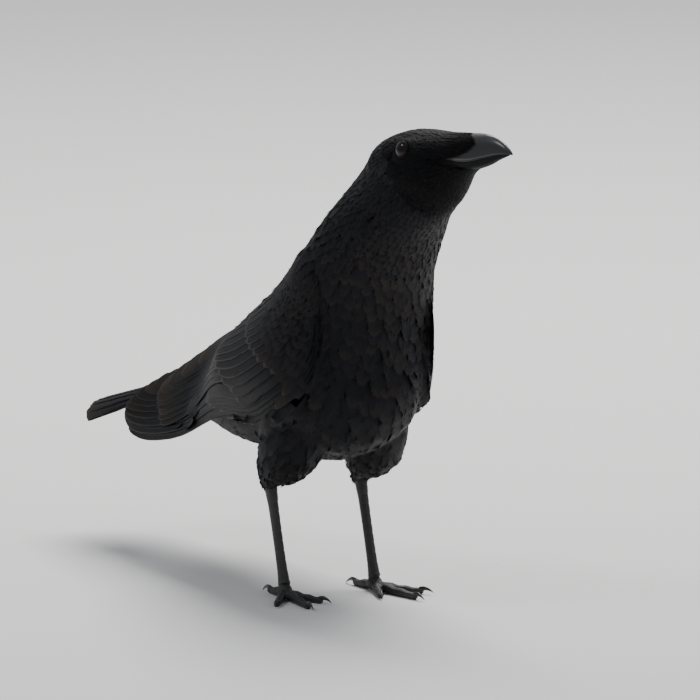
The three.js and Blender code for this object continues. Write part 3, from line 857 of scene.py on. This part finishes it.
def lies_open(rows, breadth, bent):
    """True for each feather that runs on without a kink and isn't folded up or bent over an edge."""
    step = unit(np.diff(rows[:, :, rows.shape[2] // 2], axis=1))
    straight = dots(step[:, 1:], step[:, :-1]).min(1) > 0.5
    wide = np.linalg.norm(rows[:, :, -1] - rows[:, :, 0], axis=2)
    return straight & ((wide / breadth).min(1) > 0.45) & (bent > 0.3)


def lay_feathers(name, roots, chance, *, long, broad, sunk, rise, rows, cols, blunt, narrow, fray,
                 arch, stray, worn=0.0, way_of=lie, start_way=None):
    """Feathers on the form. Lengths are in millimetres: long and broad, sunk at the root, risen
    at the tip. Narrow draws the web in towards the tip, fray is the loose part, arch the camber."""
    n = len(roots)
    long, broad, sunk, rise, worn = (
        np.broadcast_to(np.asarray(x, float), n) for x in (long, broad, sunk, rise, worn)
    )
    spots = roots
    way = way_of(roots) if start_way is None else start_way
    way = way + chance.normal(0, stray, (n, 3))
    a, b = np.linspace(0, 1, rows), np.linspace(-1, 1, cols)
    web = 0.3 + 0.7 * np.sin(np.minimum(a / 0.6, 1) * math.pi / 2)
    web = web * (1 - narrow * np.maximum(0, (a - 0.55) / 0.45) ** 2)
    level, shift = np.empty((2, n, rows, cols, 3))
    bent, before = np.ones(n), None
    for i in range(rows):
        spots, normals = touch(outer_form, spots)
        if i:
            bent = np.minimum(bent, dots(normals, before))
        before = normals
        way = unit(way - normals * dots(way, normals)[:, None])
        side = np.cross(normals, way)
        across = b * (broad / 2 * web[i])[:, None]
        drawn = -(blunt * long)[:, None] * b**2 * a[i] ** 3
        flat = spots[:, None] + (side[:, None] * across[..., None] + way[:, None] * drawn[..., None]) * MM
        hugged, facing = (x.reshape(flat.shape) for x in touch(outer_form, flat.reshape(-1, 3)))
        bent = np.minimum(bent, dots(facing, normals[:, None]).min(1))
        height = (rise * a[i] ** 2 - sunk * (1 - a[i]) ** 1.3)[:, None] - arch * (1 - HUG) * across**2
        height = height + chance.normal(0, UNEVEN, (n, cols)) * broad[:, None] * a[i]
        level[:, i], shift[:, i] = flat, (hugged - flat) * HUG + facing * height[..., None] * MM
        if i < rows - 1:
            spots = spots + way * (long / (rows - 1) * MM)[:, None]
            way = way + 0.3 * (way_of(spots) - way)
    for axis in (1, 2, 1, 2):
        shift = even_out(shift, axis)
    webs = level + shift
    edge = webs[:, -1]
    lean = (b[1:] + b[:-1]) / 2
    reach = (fray * long * MM)[:, None] * chance.uniform(0.35, 1.3, (n, cols - 1))
    loose = way[:, None] + side[:, None] * lean[:, None] * LOOSE_LEAN
    loose = loose + normals[:, None] * chance.normal(0.0, LOOSE_STRAY, (n, cols - 1, 1))
    barbs = (edge[:, 1:] + edge[:, :-1]) / 2 + loose * reach[..., None]
    points = np.concatenate([webs.reshape(n, -1, 3), barbs], 1)
    kept = lies_open(webs, broad[:, None] * web * MM, bent)
    points, roots, long, broad, worn = (x[kept] for x in (points, roots, long, broad, worn))
    n = len(points)

    quads, tips, size = feather_faces(n, rows, cols)
    made = mesh_from(name, points.reshape(-1, 3), [quads, tips])
    grid_a = np.concatenate([np.repeat(a, cols), np.ones(cols - 1)])
    grid_b = np.concatenate([np.tile(b, rows), lean])
    note(made, own=np.repeat(chance.random(n), size), tip=np.tile(grid_a, n), worn=np.repeat(worn, size))
    vane = np.stack([grid_b * broad[:, None] / 2, grid_a * long[:, None]], -1)
    near, angle = on_spine(roots)
    place = np.stack([spine_far[near] / spine_far[-1], angle / (2 * math.pi) + 0.5], -1)
    patch = np.stack([(grid_a - 0.5) * MAP_LENGTH, grid_b * MAP_HALF_BREADTH], -1)
    patch = 0.01 + 0.98 * place[:, None] + patch
    lay_maps(made, OFBake=patch.reshape(-1, 2), Vane=vane.reshape(-1, 2))
    return made


# Fine ribs of barbs slant away from the shaft on both webs, and tone drifts from barb to barb.
BARB_SLANT = 1.4
web_marks, entry, leave = mark_group(
    "web_marks", (("Barb Pitch", 0.5), ("Shaft Width", 0.25)), ("Relief", "Streak", "Shaft", "Worn Edge")
)
flat = node(web_marks, "UVMap", uv_map="Vane").outputs[0]
flat = node(web_marks, "SeparateXYZ", {0: flat}).outputs
beside = calc(web_marks, "ABSOLUTE", flat["X"])
slant = weighed(web_marks, flat["Y"], (beside, -BARB_SLANT))
turns = calc(web_marks, "DIVIDE", calc(web_marks, "MULTIPLY", slant, 2 * math.pi), entry["Barb Pitch"])
ribs = calc(web_marks, "SINE", turns)
spot = node(web_marks, "CombineXYZ", {
    "X": calc(web_marks, "MULTIPLY", slant, 1.3), "Y": calc(web_marks, "MULTIPLY", beside, 0.22),
    "Z": calc(web_marks, "MULTIPLY", noted(web_marks, "own"), 57.0),
}).outputs[0]
drift = noise(web_marks, 1.0, 3.0, 0.6, Vector=spot)
shaft = remap(web_marks, beside, (entry["Shaft Width"], 0.0), (0.0, 1.0))
fade = weighed(web_marks, noted(web_marks, "tip"), (drift, 0.25))
fade = remap(web_marks, fade, (0.85, 1.15), (0.0, 1.0))
feed(web_marks, leave, {
    "Relief": weighed(web_marks, 0.0, (ribs, 0.25), (drift, 1.4), (shaft, 0.8)),
    "Streak": drift, "Shaft": shaft,
    "Worn Edge": calc(web_marks, "MULTIPLY", fade, noted(web_marks, "worn")),
})


def plumage(name, deep, bright, rust, gloss, pitch, bump, sheen, shine):
    """Black feather: deep in the hollows, cooler where the barbs catch light, rusty where worn."""
    made, tree, shader = finish_named(name, {
        "Specular IOR Level": shine, "Specular Tint": (0.88, 0.90, 1.0, 1), "Sheen Weight": sheen,
        "Sheen Roughness": 0.35, "Sheen Tint": (0.62, 0.66, 0.85, 1),
    })
    marks = marks_in(tree, web_marks, {"Barb Pitch": pitch})
    streak, edge = marks["Streak"], marks["Worn Edge"]
    level = weighed(tree, -0.2, (streak, 0.7), (noted(tree, "own"), 0.45))
    black = mixed(tree, level, (*deep, 1), (*bright, 1))
    feed(tree, shader, {
        "Base Color": mixed(tree, edge, black, (*rust, 1)),
        "Roughness": weighed(tree, gloss - 0.11, (streak, 0.22), (edge, 0.25)),
        "Normal": bumped(tree, marks["Relief"], bump, 0.00018),
    })
    return made


soft_tones = (0.0014, 0.0014, 0.0016), (0.0045, 0.0046, 0.0052), (0.030, 0.021, 0.015)
face_tones = (0.0012, 0.0012, 0.0014), (0.004, 0.004, 0.0044), (0.022, 0.017, 0.013)
quill_tones = (0.0016, 0.0017, 0.002), (0.0055, 0.0057, 0.007), (0.042, 0.030, 0.021)
soft_black = plumage("soft_black", *soft_tones, 0.5, 0.45, 0.6, 0.015, 0.2)
face_black = plumage("face_black", *face_tones, 0.52, 0.3, 0.5, 0.008, 0.09)
quill_black = plumage("quill_black", *quill_tones, 0.42, 0.6, 0.4, 0.01, 0.1)

# From the bill back: how far along the spine, length and breadth of a feather on the back,
# the same on the throat and belly, and how far apart they grow on the back and below.
COAT = np.array(
    [
        [28, 3.0, 1.9, 3.2, 1.9, 1.15, 1.2], [52, 4.2, 2.6, 4.6, 2.6, 1.4, 1.6],
        [78, 6.0, 3.6, 8.0, 3.8, 1.9, 2.3], [105, 10, 5.2, 13, 5.2, 2.7, 3.1],
        [135, 14, 7.2, 17, 7.0, 3.7, 4.0], [170, 18, 9.5, 21, 9.5, 4.9, 5.2],
        [215, 24, 12.5, 24, 12, 6.3, 6.2], [260, 26, 13, 26, 12.5, 6.6, 6.4],
        [300, 27, 12.5, 27, 12, 6.2, 6.0], [345, 34, 13, 32, 12, 6.4, 6.0], [420, 34, 13, 32, 12, 6.4, 6.0],
    ]
)
THIGH_COAT, ANKLE_COAT, EYE_COAT = (15, 5.5, 2.8), (9, 4.4, 2.1), (2.0, 1.3, 0.85)
NECK_FROM, BEHIND_NECK = 74, 150  # along the spine


def coat_at(points):
    """Length, breadth and gap of the feathers that grow at each point, in millimetres."""
    near, angle = on_spine(points)
    far, high = spine_far[near], points[:, 2] / MM
    size, belly = ([np.interp(far, COAT[:, 0], COAT[:, k]) for k in ks] for ks in ((1, 2, 5), (3, 4, 6)))
    for share, other in (
        (smooth_step(0.9, 2.2, np.abs(angle)), belly),
        (smooth_step(90, 78, high) * (far > BEHIND_NECK), THIGH_COAT),
        (smooth_step(71, 64, high) * (far > BEHIND_NECK), ANKLE_COAT),
        (smooth_step(12, 7.5, round_the_eye(points)[0]), EYE_COAT),
    ):
        size = [x + (y - x) * share for x, y in zip(size, other)]
    return size


# The folded wing lies between its upper and its lower edge, from the shoulder to the wing tip.
WING_UPPER = np.array(
    [
        [75, -32, 193], [62, -30.5, 188], [43, -25, 176], [8, -19, 156.5], [-24, -16, 139.6],
        [-60.5, -12, 125], [-85.5, -17, 110.3], [-109.5, -23, 98.8], [-126.5, -28, 92.5], [-133.5, -31, 85],
    ]
) * MM
WING_LOWER = np.array(
    [
        [86, -35, 185.5], [93, -34, 161], [87, -36, 122], [45, -42, 95], [0, -43, 92],
        [-51.5, -41, 75], [-79.5, -39, 69], [-105.5, -37, 66], [-123.5, -36, 67], [-132.5, -35, 73],
    ]
) * MM
WING_ROWS, WING_COLS = 73, 25
CAST_FROM, CAST_LENGTH = 0.03, 0.034  # metres outside the grid, and as far as its form may lie
WING_ROUNDS = 6


def wing_surface():
    """A grid over the outside of the right wing, taken from the smooth form."""
    u, v = np.linspace(0, 1, WING_ROWS), np.linspace(0, 1, WING_COLS)
    top, low = eased(WING_UPPER, u), eased(WING_LOWER, u)
    grid = top[:, None] + (low - top)[:, None] * v[None, :, None]
    out = unit(np.cross(np.gradient(grid[:, WING_COLS // 2], axis=0), low - top))
    out *= np.sign(-out[:, 1])[:, None]
    for i in range(WING_ROWS):
        for j in range(WING_COLS):
            start = (grid[i, j] + out[i] * CAST_FROM).tolist()
            hit = outer_form[0].ray_cast(start, (-out[i]).tolist(), CAST_LENGTH)[0]
            if hit is not None:
                grid[i, j] = hit[:]
    for _ in range(WING_ROUNDS):
        inner = (grid[2:, 1:-1] + grid[:-2, 1:-1] + grid[1:-1, 2:] + grid[1:-1, :-2]) / 4
        grid[1:-1, 1:-1] += 0.5 * (inner - grid[1:-1, 1:-1])
        for edge in (0, -1):
            grid[1:-1, edge] += 0.5 * ((grid[2:, edge] + grid[:-2, edge]) / 2 - grid[1:-1, edge])
    along, down = np.gradient(grid, axis=0), np.gradient(grid, axis=1)
    facing = unit(np.cross(along, down))
    return grid, facing * np.sign(-facing[..., 1:2]), unit(along)


wing_grid, wing_facing, wing_along = wing_surface()
wing_tree = tree_of(wing_grid.reshape(-1, 3))


def nearest_on_wing(points):
    """The nearest point of the wing on that side, by its number in the grid, and its distance."""
    folded = np.stack([points[:, 0], -np.abs(points[:, 1]), points[:, 2]], 1)
    found = [wing_tree.find(p) for p in folded.tolist()]
    return np.array([f[1] for f in found]), np.array([f[2] for f in found])


def bare_of_coat(points):
    """True where no body feather grows: bill, eye, wing, tail and the ends of the thighs."""
    forward, _, up = on_head(points).T
    eye_far, eye_off = round_the_eye(points)
    gape = (forward > 17.5) & (up > -1.6 - (forward - 17.5) * 0.2) & (up < 2.2 + (forward - 18) * 0.1)
    beak = (forward > 42) | gape | ((forward > 32) & (up > -5.2))
    at_head = points[:, 2] > 0.22
    eye = (eye_off < LID_OPENING + math.radians(10)) & (eye_far < 10)
    index, far = nearest_on_wing(points)
    u, v = index // WING_COLS / (WING_ROWS - 1), index % WING_COLS / (WING_COLS - 1)
    wing = (far < 3.2 * MM) & (u > 0.03) & (v > 0.12) & (v < 0.985)
    wing |= (far < 6 * MM) & (u > 0.6)
    tail = points[:, 0] < -0.082
    return (beak & at_head) | eye | wing | tail | (points[:, 2] < 0.0625)


# The head's feathers are the shortest and tightest. Longer, looser ones follow down the neck
# and throat, and the fullest ones cover the back, breast, flanks and belly.
FIRST_CHANCE = 71
TRACTS = (
    ("coat_head", -999, NECK_FROM, face_black,
     dict(rows=4, cols=5, blunt=0.25, narrow=0.3, fray=0.2, arch=0.03, stray=0.08)),
    ("coat_neck", NECK_FROM, 128, soft_black,
     dict(rows=6, cols=7, blunt=0.3, narrow=0.35, fray=0.16, arch=0.022, stray=0.08)),
    ("coat_breast", 128, 205, soft_black,
     dict(rows=7, cols=9, blunt=0.24, narrow=0.25, fray=0.1, arch=0.016, stray=0.07)),
    ("coat_trunk", 205, 999, soft_black,
     dict(rows=7, cols=9, blunt=0.22, narrow=0.22, fray=0.09, arch=0.014, stray=0.06)),
)
LAYER_AT = [30, 60, 90, 128, 170, 215]  # along the spine
LAYER_SUNK = [0.45, 0.6, 0.85, 1.4, 2.0, 2.5]
LAYER_RISE = [0.06, 0.12, 0.2, 0.28, 0.34, 0.36]
THIGH_FLUFF = 0.8
NAPE_AT, NAPE_REACH, NAPE_BREADTH = 135, 30, 0.9
centre_far = spine_far[on_spine(outer_points[outer_faces].mean(1))[0]]
for order, (name, start_far, end_far, finish, shape) in enumerate(TRACTS):
    chance = np.random.default_rng(FIRST_CHANCE + order)
    patch = outer_faces[(centre_far >= start_far - 2) & (centre_far < end_far + 2)]
    roots = scatter(outer_points, patch, lambda p: coat_at(p)[2] * MM, chance)
    far = spine_far[on_spine(roots)[0]]
    roots = roots[(far >= start_far) & (far < end_far) & ~bare_of_coat(roots)]
    n = len(roots)
    near, angle = on_spine(roots)
    far, high = spine_far[near], roots[:, 2] / MM
    long, broad, _ = coat_at(roots)
    vary = chance.normal(1, 0.08, n)
    sunk, rise = np.interp(far, LAYER_AT, LAYER_SUNK), np.interp(far, LAYER_AT, LAYER_RISE)
    rise = rise + THIGH_FLUFF * smooth_step(92, 78, high) * smooth_step(62, 68, high)
    nape = np.exp(-(((far - NAPE_AT) / NAPE_REACH) ** 2)) * np.exp(-((angle / NAPE_BREADTH) ** 2))
    above = 1 - smooth_step(0.8, 1.5, np.abs(angle))
    worn = chance.random(n) ** 3 * (0.12 + 0.55 * above) + 0.8 * nape * chance.random(n)
    coat = lay_feathers(
        name, roots, chance, long=long * vary, broad=broad * vary, sunk=sunk,
        rise=rise + chance.random(n) * rise, worn=np.clip(worn, 0, 1), **shape,
    )
    coat.data.materials.append(finish)


# ---------- wing quills and coverts ----------
# Long stiff feathers, folded like a fan: the inner ones lie over the outer ones, so each
# shows a strip of its outer web. Rounded coverts hide their roots in three rows.
WEB = np.array([-1, -0.72, -0.42, -0.1, 0, 0.1, 0.42, 0.72, 1])  # across a quill, inner web first
WEB_ROWS = 30
QUILL_THICK, SHAFT_THICK, SHAFT_RISE, EDGE_WAVE = 0.17, 0.25, 0.16, 0.06


def wing_at(u, v):
    """Place and facing on the folded right wing. u runs to the wing tip, v from the upper edge down."""
    x, y = u * (WING_ROWS - 1), v * (WING_COLS - 1)
    i = np.clip(x.astype(int), 0, WING_ROWS - 2)
    j = np.clip(np.floor(y).astype(int), 0, WING_COLS - 2)
    f, g = (x - i)[..., None], (y - j)[..., None]
    spot, facing = (
        (t[i, j] * (1 - g) + t[i, j + 1] * g) * (1 - f) + (t[i + 1, j] * (1 - g) + t[i + 1, j + 1] * g) * f
        for t in (wing_grid, wing_facing)
    )
    return spot, unit(facing)


def sheet_faces(rows, cols):
    """Faces of a thin closed sheet: its upper grid, its lower one and the rim between them."""
    n = rows * cols
    face = grid_faces(rows, cols)
    first, last = np.arange(cols), np.arange(n - 1, n - cols - 1, -1)
    down, back = np.arange(2, rows) * cols - 1, np.arange(rows - 2, 0, -1) * cols
    loop = np.concatenate([first, down, last, back])
    rim = np.stack([loop, loop + n, np.roll(loop, -1) + n, np.roll(loop, -1)], -1)
    return np.concatenate([face, face[:, ::-1] + n, rim])


def quill_outline(a, tip_from, chance):
    """Share of the full breadth along a quill, with a few splits in the web."""
    f = 0.22 + 0.78 * smooth_step(0.0, 0.32, a)
    tip = np.maximum(0, (a - tip_from) / (1.004 - tip_from))
    f = f * np.sqrt(np.maximum(0.02, 1 - tip**2.2))
    ragged = 1 + chance.normal(0, 0.012, (2, len(a)))
    for _ in range(chance.integers(1, 4)):
        ragged[chance.integers(2), chance.integers(9, len(a) - 3)] -= chance.uniform(0.06, 0.2)
    return f * ragged


def quill(surface, widths, base, tilt, tip_from, chance):
    """One closed feather from root to tip. surface(along, across in mm) gives place and facing."""
    along = np.linspace(0, 1, WEB_ROWS)
    outline = quill_outline(along, tip_from, chance)[..., None]
    a = along[:, None]
    inner, outer = widths
    x = np.where(WEB < 0, WEB * inner * outline[0], WEB * outer * outline[1])
    spot, facing = surface(a + 0 * x, x)
    at_shaft = (WEB == 0) * (1 - a)
    height = base + tilt * (x / (inner + outer)) - 0.004 * x**2 + SHAFT_RISE * at_shaft
    height = height + EDGE_WAVE * np.sin(a * 9 + chance.uniform(0, 6)) * (np.abs(WEB) == 1)
    top = spot + facing * height[..., None] * MM
    thick = QUILL_THICK * (0.5 + 0.5 * (1 - np.abs(WEB))) * (1.1 - 0.6 * a) + SHAFT_THICK * at_shaft
    under = top - facing * thick[..., None] * MM
    far = length_along(spot[:, len(WEB) // 2])
    points = np.concatenate([top.reshape(-1, 3), under.reshape(-1, 3)])
    vane = np.stack(np.broadcast_arrays(x, far[:, None]), -1).reshape(-1, 2)
    strip = np.stack(np.broadcast_arrays((WEB + 1) / 2, a), -1).reshape(-1, 2)
    return points, sheet_faces(*x.shape), vane, strip, np.repeat(along, len(WEB))


def quill_piece(name, quills, mirror, chance, worn_most):
    """Joins quills into one mesh. Each has its own strip in the bake map, its two faces side by side."""
    points, faces, vanes, strips, tips, owns, worns, start = [], [], [], [], [], [], [], 0
    for k, (p, f, vane, strip, a) in enumerate(quills):
        points.append(p)
        faces.append(f + start)
        start += len(p)
        vanes.append(np.tile(vane, (2, 1)))
        for half in (0, 0.5):
            across = (k + 0.04 + half + 0.42 * strip[:, 0]) / len(quills)
            strips.append(np.stack([across, 0.01 + 0.98 * strip[:, 1]], -1))
        tips.append(np.tile(a, 2))
        owns.append(np.full(len(p), chance.random()))
        worns.append(np.full(len(p), worn_most * chance.uniform(0.3, 1)))
    points, faces, vanes, strips, tips, owns, worns = (
        np.concatenate(x) for x in (points, faces, vanes, strips, tips, owns, worns)
    )
    if mirror:
        points, faces = points * [1, -1, 1], faces[:, ::-1]
    made = mesh_from(name, points, faces)
    note(made, own=owns, tip=tips, worn=worns)
    lay_maps(made, OFBake=strips, Vane=vanes)
    made.data.materials.append(quill_black)
    return made


# For each group, from the innermost feather to the outermost: roots and tips on the wing,
# inner and outer web in millimetres, height of the layer, slope across, and where the tip begins.
FAN = {
    "primaries": dict(
        root=([0.36, 0.22], [0.45, 0.93]), web=([9.5, 7.5], [5.5, 3.0]), base=-1.5, tilt=0.8, tip=0.72,
        tip_u=[0.80, 0.845, 0.885, 0.925, 0.96, 0.985, 1.0, 0.975, 0.905],
        tip_v=[0.10, 0.16, 0.23, 0.31, 0.41, 0.53, 0.68, 0.84, 0.95],
    ),
    "secondaries": dict(
        root=([0.30, 0.24], [0.04, 0.60]), web=([11, 9], [7.5, 5]), base=-0.85, tilt=0.85, tip=0.86,
        tip_u=[0.63, 0.69, 0.735, 0.755, 0.76, 0.755, 0.745, 0.735, 0.725, 0.715, 0.70],
        tip_v=[0.07, 0.11, 0.165, 0.23, 0.30, 0.37, 0.44, 0.52, 0.60, 0.68, 0.76],
    ),
    "primary_coverts": dict(
        root=([0.15, 0.12], [0.78, 0.93]), web=([5.5, 4.5], [3.6, 2.4]), base=-0.5, tilt=0.8, tip=0.8,
        tip_u=[0.47, 0.475, 0.47, 0.46, 0.44, 0.41], tip_v=[0.80, 0.83, 0.865, 0.90, 0.935, 0.965],
    ),
    "greater_coverts": dict(
        root=([0.20, 0.12], [0.03, 0.78]), web=([9.5, 8], [6.5, 5]), base=-0.15, tilt=0.85, tip=0.82,
        tip_u=[0.46, 0.475, 0.48, 0.475, 0.465, 0.455, 0.445, 0.43, 0.415, 0.40, 0.385, 0.37],
        tip_v=[0.05, 0.12, 0.19, 0.26, 0.33, 0.40, 0.47, 0.545, 0.62, 0.69, 0.76, 0.83],
    ),
    "median_coverts": dict(
        root=([0.14, 0.05], [0.03, 0.80]), web=([8, 7], [6.5, 5]), base=0.25, tilt=0.75, tip=0.78,
        tip_u=[0.335, 0.34, 0.34, 0.335, 0.33, 0.32, 0.31, 0.30, 0.29, 0.28, 0.27, 0.26, 0.25],
        tip_v=[0.04, 0.11, 0.175, 0.24, 0.305, 0.37, 0.435, 0.50, 0.565, 0.63, 0.70, 0.77, 0.84],
    ),
    "alula": dict(
        root=([0.10, 0.08], [0.88, 0.95]), web=([4.5, 4], [3, 2.4]), base=0.1, tilt=0.7, tip=0.8,
        tip_u=[0.235, 0.27, 0.29], tip_v=[0.90, 0.935, 0.975],
    ),
}
FLIGHT = ("primaries", "secondaries")
COVERTS = ("primary_coverts", "greater_coverts", "median_coverts", "alula")
LEAST_CHORD = 16  # millimetres


def fan_quills(groups, chance):
    made = []
    for shape in (FAN[group] for group in groups):
        for k, (tip_u, tip_v) in enumerate(zip(shape["tip_u"], shape["tip_v"])):
            share = k / (len(shape["tip_u"]) - 1)
            (u0, v0), widths = (
                [first + (last - first) * share for first, last in shape[key]] for key in ("root", "web")
            )
            tip_u += chance.normal(0, 0.003)

            def surface(a, x, u0=u0, v0=v0, tip_u=tip_u, tip_v=tip_v):
                u, v = u0 + (tip_u - u0) * a, v0 + (tip_v - v0) * a**1.15
                top, low = wing_at(u, 0 * v)[0], wing_at(u, 0 * v + 1)[0]
                chord = np.linalg.norm(low - top, axis=-1) * 1.12 / MM
                return wing_at(u, np.clip(v + x / np.maximum(chord, LEAST_CHORD), -0.06, 1.04))

            made.append(quill(surface, widths, shape["base"], shape["tilt"], shape["tip"], chance))
    return made


DOWN_ROWS, DOWN_COLS = 40, 15
DOWN_TOP, DOWN_UNDER = 2.5, 3.0  # depth under the form
WING_LONG, WING_DEEP = 226, 40


def wing_down():
    """The dense under-feathers that close the wing beneath its coverts."""
    u, v = np.linspace(0.01, 0.74, DOWN_ROWS), np.linspace(0.03, 0.97, DOWN_COLS)
    u, v = np.meshgrid(u, v, indexing="ij")
    spot, facing = wing_at(u, v)
    points = np.stack([spot - facing * depth * MM for depth in (DOWN_TOP, DOWN_UNDER)])
    strip = np.stack([v, u], -1).reshape(-1, 2)
    faces = sheet_faces(DOWN_ROWS, DOWN_COLS)
    return points.reshape(-1, 3), faces, strip * [WING_DEEP, WING_LONG], strip, 0 * u.ravel()


def wing_way(points):
    """Along the folded wing to its tip, a little downwards."""
    way = wing_along.reshape(-1, 3)[nearest_on_wing(points)[0]] + [0, 0, -0.12]
    way[:, 1] *= -np.sign(points[:, 1])
    return way


LESSER_STEP_U, LESSER_STEP_V, LESSER_STAGGER = 0.021, 0.085, 0.042
for side, mirror, first_chance in (("right", False, 12), ("left", True, 11)):
    chance = np.random.default_rng(first_chance)
    flight = [wing_down()] + fan_quills(FLIGHT, chance)
    flight = quill_piece(f"quills_{side}", flight, mirror, chance, 0.8)
    quill_piece(f"coverts_{side}", fan_quills(COVERTS, chance), mirror, chance, 0.45)
    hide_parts(f"wing_{side}")
    u, v = np.meshgrid(np.arange(0.0, 0.215, LESSER_STEP_U), np.arange(0.03, 0.97, LESSER_STEP_V), indexing="ij")
    u, v = u.ravel(), v.ravel()
    v = v + LESSER_STAGGER * (np.round(u / LESSER_STEP_U).astype(int) % 2)
    u = u + chance.normal(0, 0.003, len(u))
    v = v + chance.normal(0, 0.01, len(v))
    roots, _ = wing_at(np.clip(u, 0, 1), np.clip(v, 0.0, 0.97))
    if mirror:
        roots = roots * [1, -1, 1]
    lesser = lay_feathers(
        f"lesser_coverts_{side}", roots, chance, long=12.5 + 5 * u / 0.2, broad=9.0, sunk=1.2, rise=0.7,
        rows=7, cols=9, blunt=0.16, narrow=0.15, fray=0.06, arch=0.02, stray=0.05,
        worn=chance.random(len(roots)) * 0.3, way_of=wing_way,
    )
    lesser.data.materials.append(soft_black)


# ---------- tail ----------
# Twelve long stiff feathers with rounded ends, nearly closed: the middle pair lies on top and
# is longest, and the rest step down and out under it on each side.
TAIL_BASE = np.array([-63.5, 0, 104])
TAIL_LENGTH, TAIL_SHORTER = 143, 13
TAIL_DROP = math.radians(14)
TAIL_HALF = (17, 28)
TAIL_ROOF, TAIL_HANG = 6, 7
TAIL_TIPS = [0.14, 0.34, 0.53, 0.70, 0.84, 0.95]  # across the tail, as a share of its half width
TAIL_OUTER, TAIL_INNER = [9.5, 8.5, 7.5, 6.5, 5.2, 3.0], 13
TAIL_TOP, TAIL_STEP, TAIL_LAP = -0.35, -0.34, -0.3  # heights of the layers
tail_way = np.array([-math.cos(TAIL_DROP), 0, -math.sin(TAIL_DROP)])
tail_lift = np.array([-math.sin(TAIL_DROP), 0, math.cos(TAIL_DROP)])

for_tail = []
chance = np.random.default_rng(5)
for sign in (1, -1):
    for k in range(6):
        length = TAIL_LENGTH - TAIL_SHORTER * TAIL_TIPS[k] ** 2 + chance.normal(0, 0.8)

        def surface(a, x, k=k, sign=sign, length=length):
            half = TAIL_HALF[0] + (TAIL_HALF[1] - TAIL_HALF[0]) * np.sin(a * math.pi / 2.2)
            root = 0.10 + 0.13 * k
            across = root + (TAIL_TIPS[k] - root) * smooth_step(0, 0.9, a) + x / half
            side = np.clip(across, -0.75, 1.04)
            rise = TAIL_ROOF * (1 - side**2) * (1 - 0.4 * a) - TAIL_HANG * np.abs(side) ** 6 * a
            aside = np.stack([0 * side, -sign * side * half, 0 * side], -1)
            spot = TAIL_BASE + tail_way * (a * length)[..., None] + aside + tail_lift * rise[..., None]
            tipped = np.stack([0 * side, -sign * 0.35 * side, 0 * side], -1) + tail_lift
            return spot * MM, unit(tipped)

        base = TAIL_TOP + TAIL_STEP * k + (TAIL_LAP if sign < 0 and k == 0 else 0)
        for_tail.append(quill(surface, (TAIL_INNER, TAIL_OUTER[k]), base, 0.55, 0.9, chance))
tail = quill_piece("tail_quills", for_tail, False, chance, 0.6)
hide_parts("tail")


# ---------- bristles of the bill ----------
# Stiff hair-like feathers grow forward from the forehead and hide the nostrils. They lie
# flat along both sides of the ridge; a few longer ones stand at the corner of the mouth.
BRISTLE_UP = [1.5, 2.4, 3.4, 5, 7, 8.7, 10.5, 12, 13.5]
BRISTLE_FRONT = [17, 25, 33, 39, 43, 45, 42.5, 38, 35.5]  # how far forward they reach there
BRISTLE_GAP = 0.7 * MM
CORNER_COUNT = 12  # on each side


def bristle_way(points):
    _, right, _ = on_head(points).T
    sink = 0.02 + 0.10 * smooth_step(3, 9, np.abs(right))
    close = 0.10 * np.sign(right) * smooth_step(4, 9, np.abs(right))
    return unit(head_forward - head_up * sink[:, None] - head_right * close[:, None])


chance = np.random.default_rng(31)
patch = outer_faces[centre_far < 70]
roots = scatter(outer_points, patch, lambda p: np.full(len(p), BRISTLE_GAP), chance)
forward, _, up = on_head(roots).T
ends_at = np.interp(up - 0.5, BRISTLE_UP, BRISTLE_FRONT)
kept = (forward > 13) & (forward < 38) & (up > 2.6 + 0.1 * np.maximum(0, forward - 18))
kept &= ends_at - forward > 3.5
roots, forward, ends_at = (x[kept] for x in (roots, forward, ends_at))
long = np.clip(ends_at - forward, 3, 18) * chance.uniform(0.8, 1.0, len(roots))
broad = chance.uniform(0.5, 0.85, len(roots))
rise = chance.uniform(0.3, 0.7, len(roots))
nasal = lay_feathers(
    "nasal_bristles", roots, chance, long=long, broad=broad, sunk=0.4, rise=rise, rows=7, cols=3,
    blunt=0.02, narrow=0.8, fray=0.12, arch=0.2, stray=0.04, worn=0.1, way_of=bristle_way,
)
nasal.data.materials.append(face_black)

roots, ways = [], []
for sign in (1, -1):
    for _ in range(CORNER_COUNT):
        forward, out, up = 14 + 4 * chance.random(), 15.5 - 0.5 * chance.random(), -1.0 + 4 * chance.random()
        roots.append(from_head(forward, sign * out, up))
        sink, spread = chance.uniform(0.0, 0.5), chance.uniform(-0.1, 0.1)
        ways.append(head_forward - head_up * sink + head_right * sign * spread)
rictal = lay_feathers(
    "rictal_bristles", np.array(roots), chance, long=chance.uniform(5, 9, len(roots)), broad=0.3,
    sunk=0.2, rise=0.9, rows=7, cols=3, blunt=0.0, narrow=0.85, fray=0.1, arch=0.3, stray=0.05,
    way_of=bristle_way, start_way=np.array(ways),
)
rictal.data.materials.append(face_black)
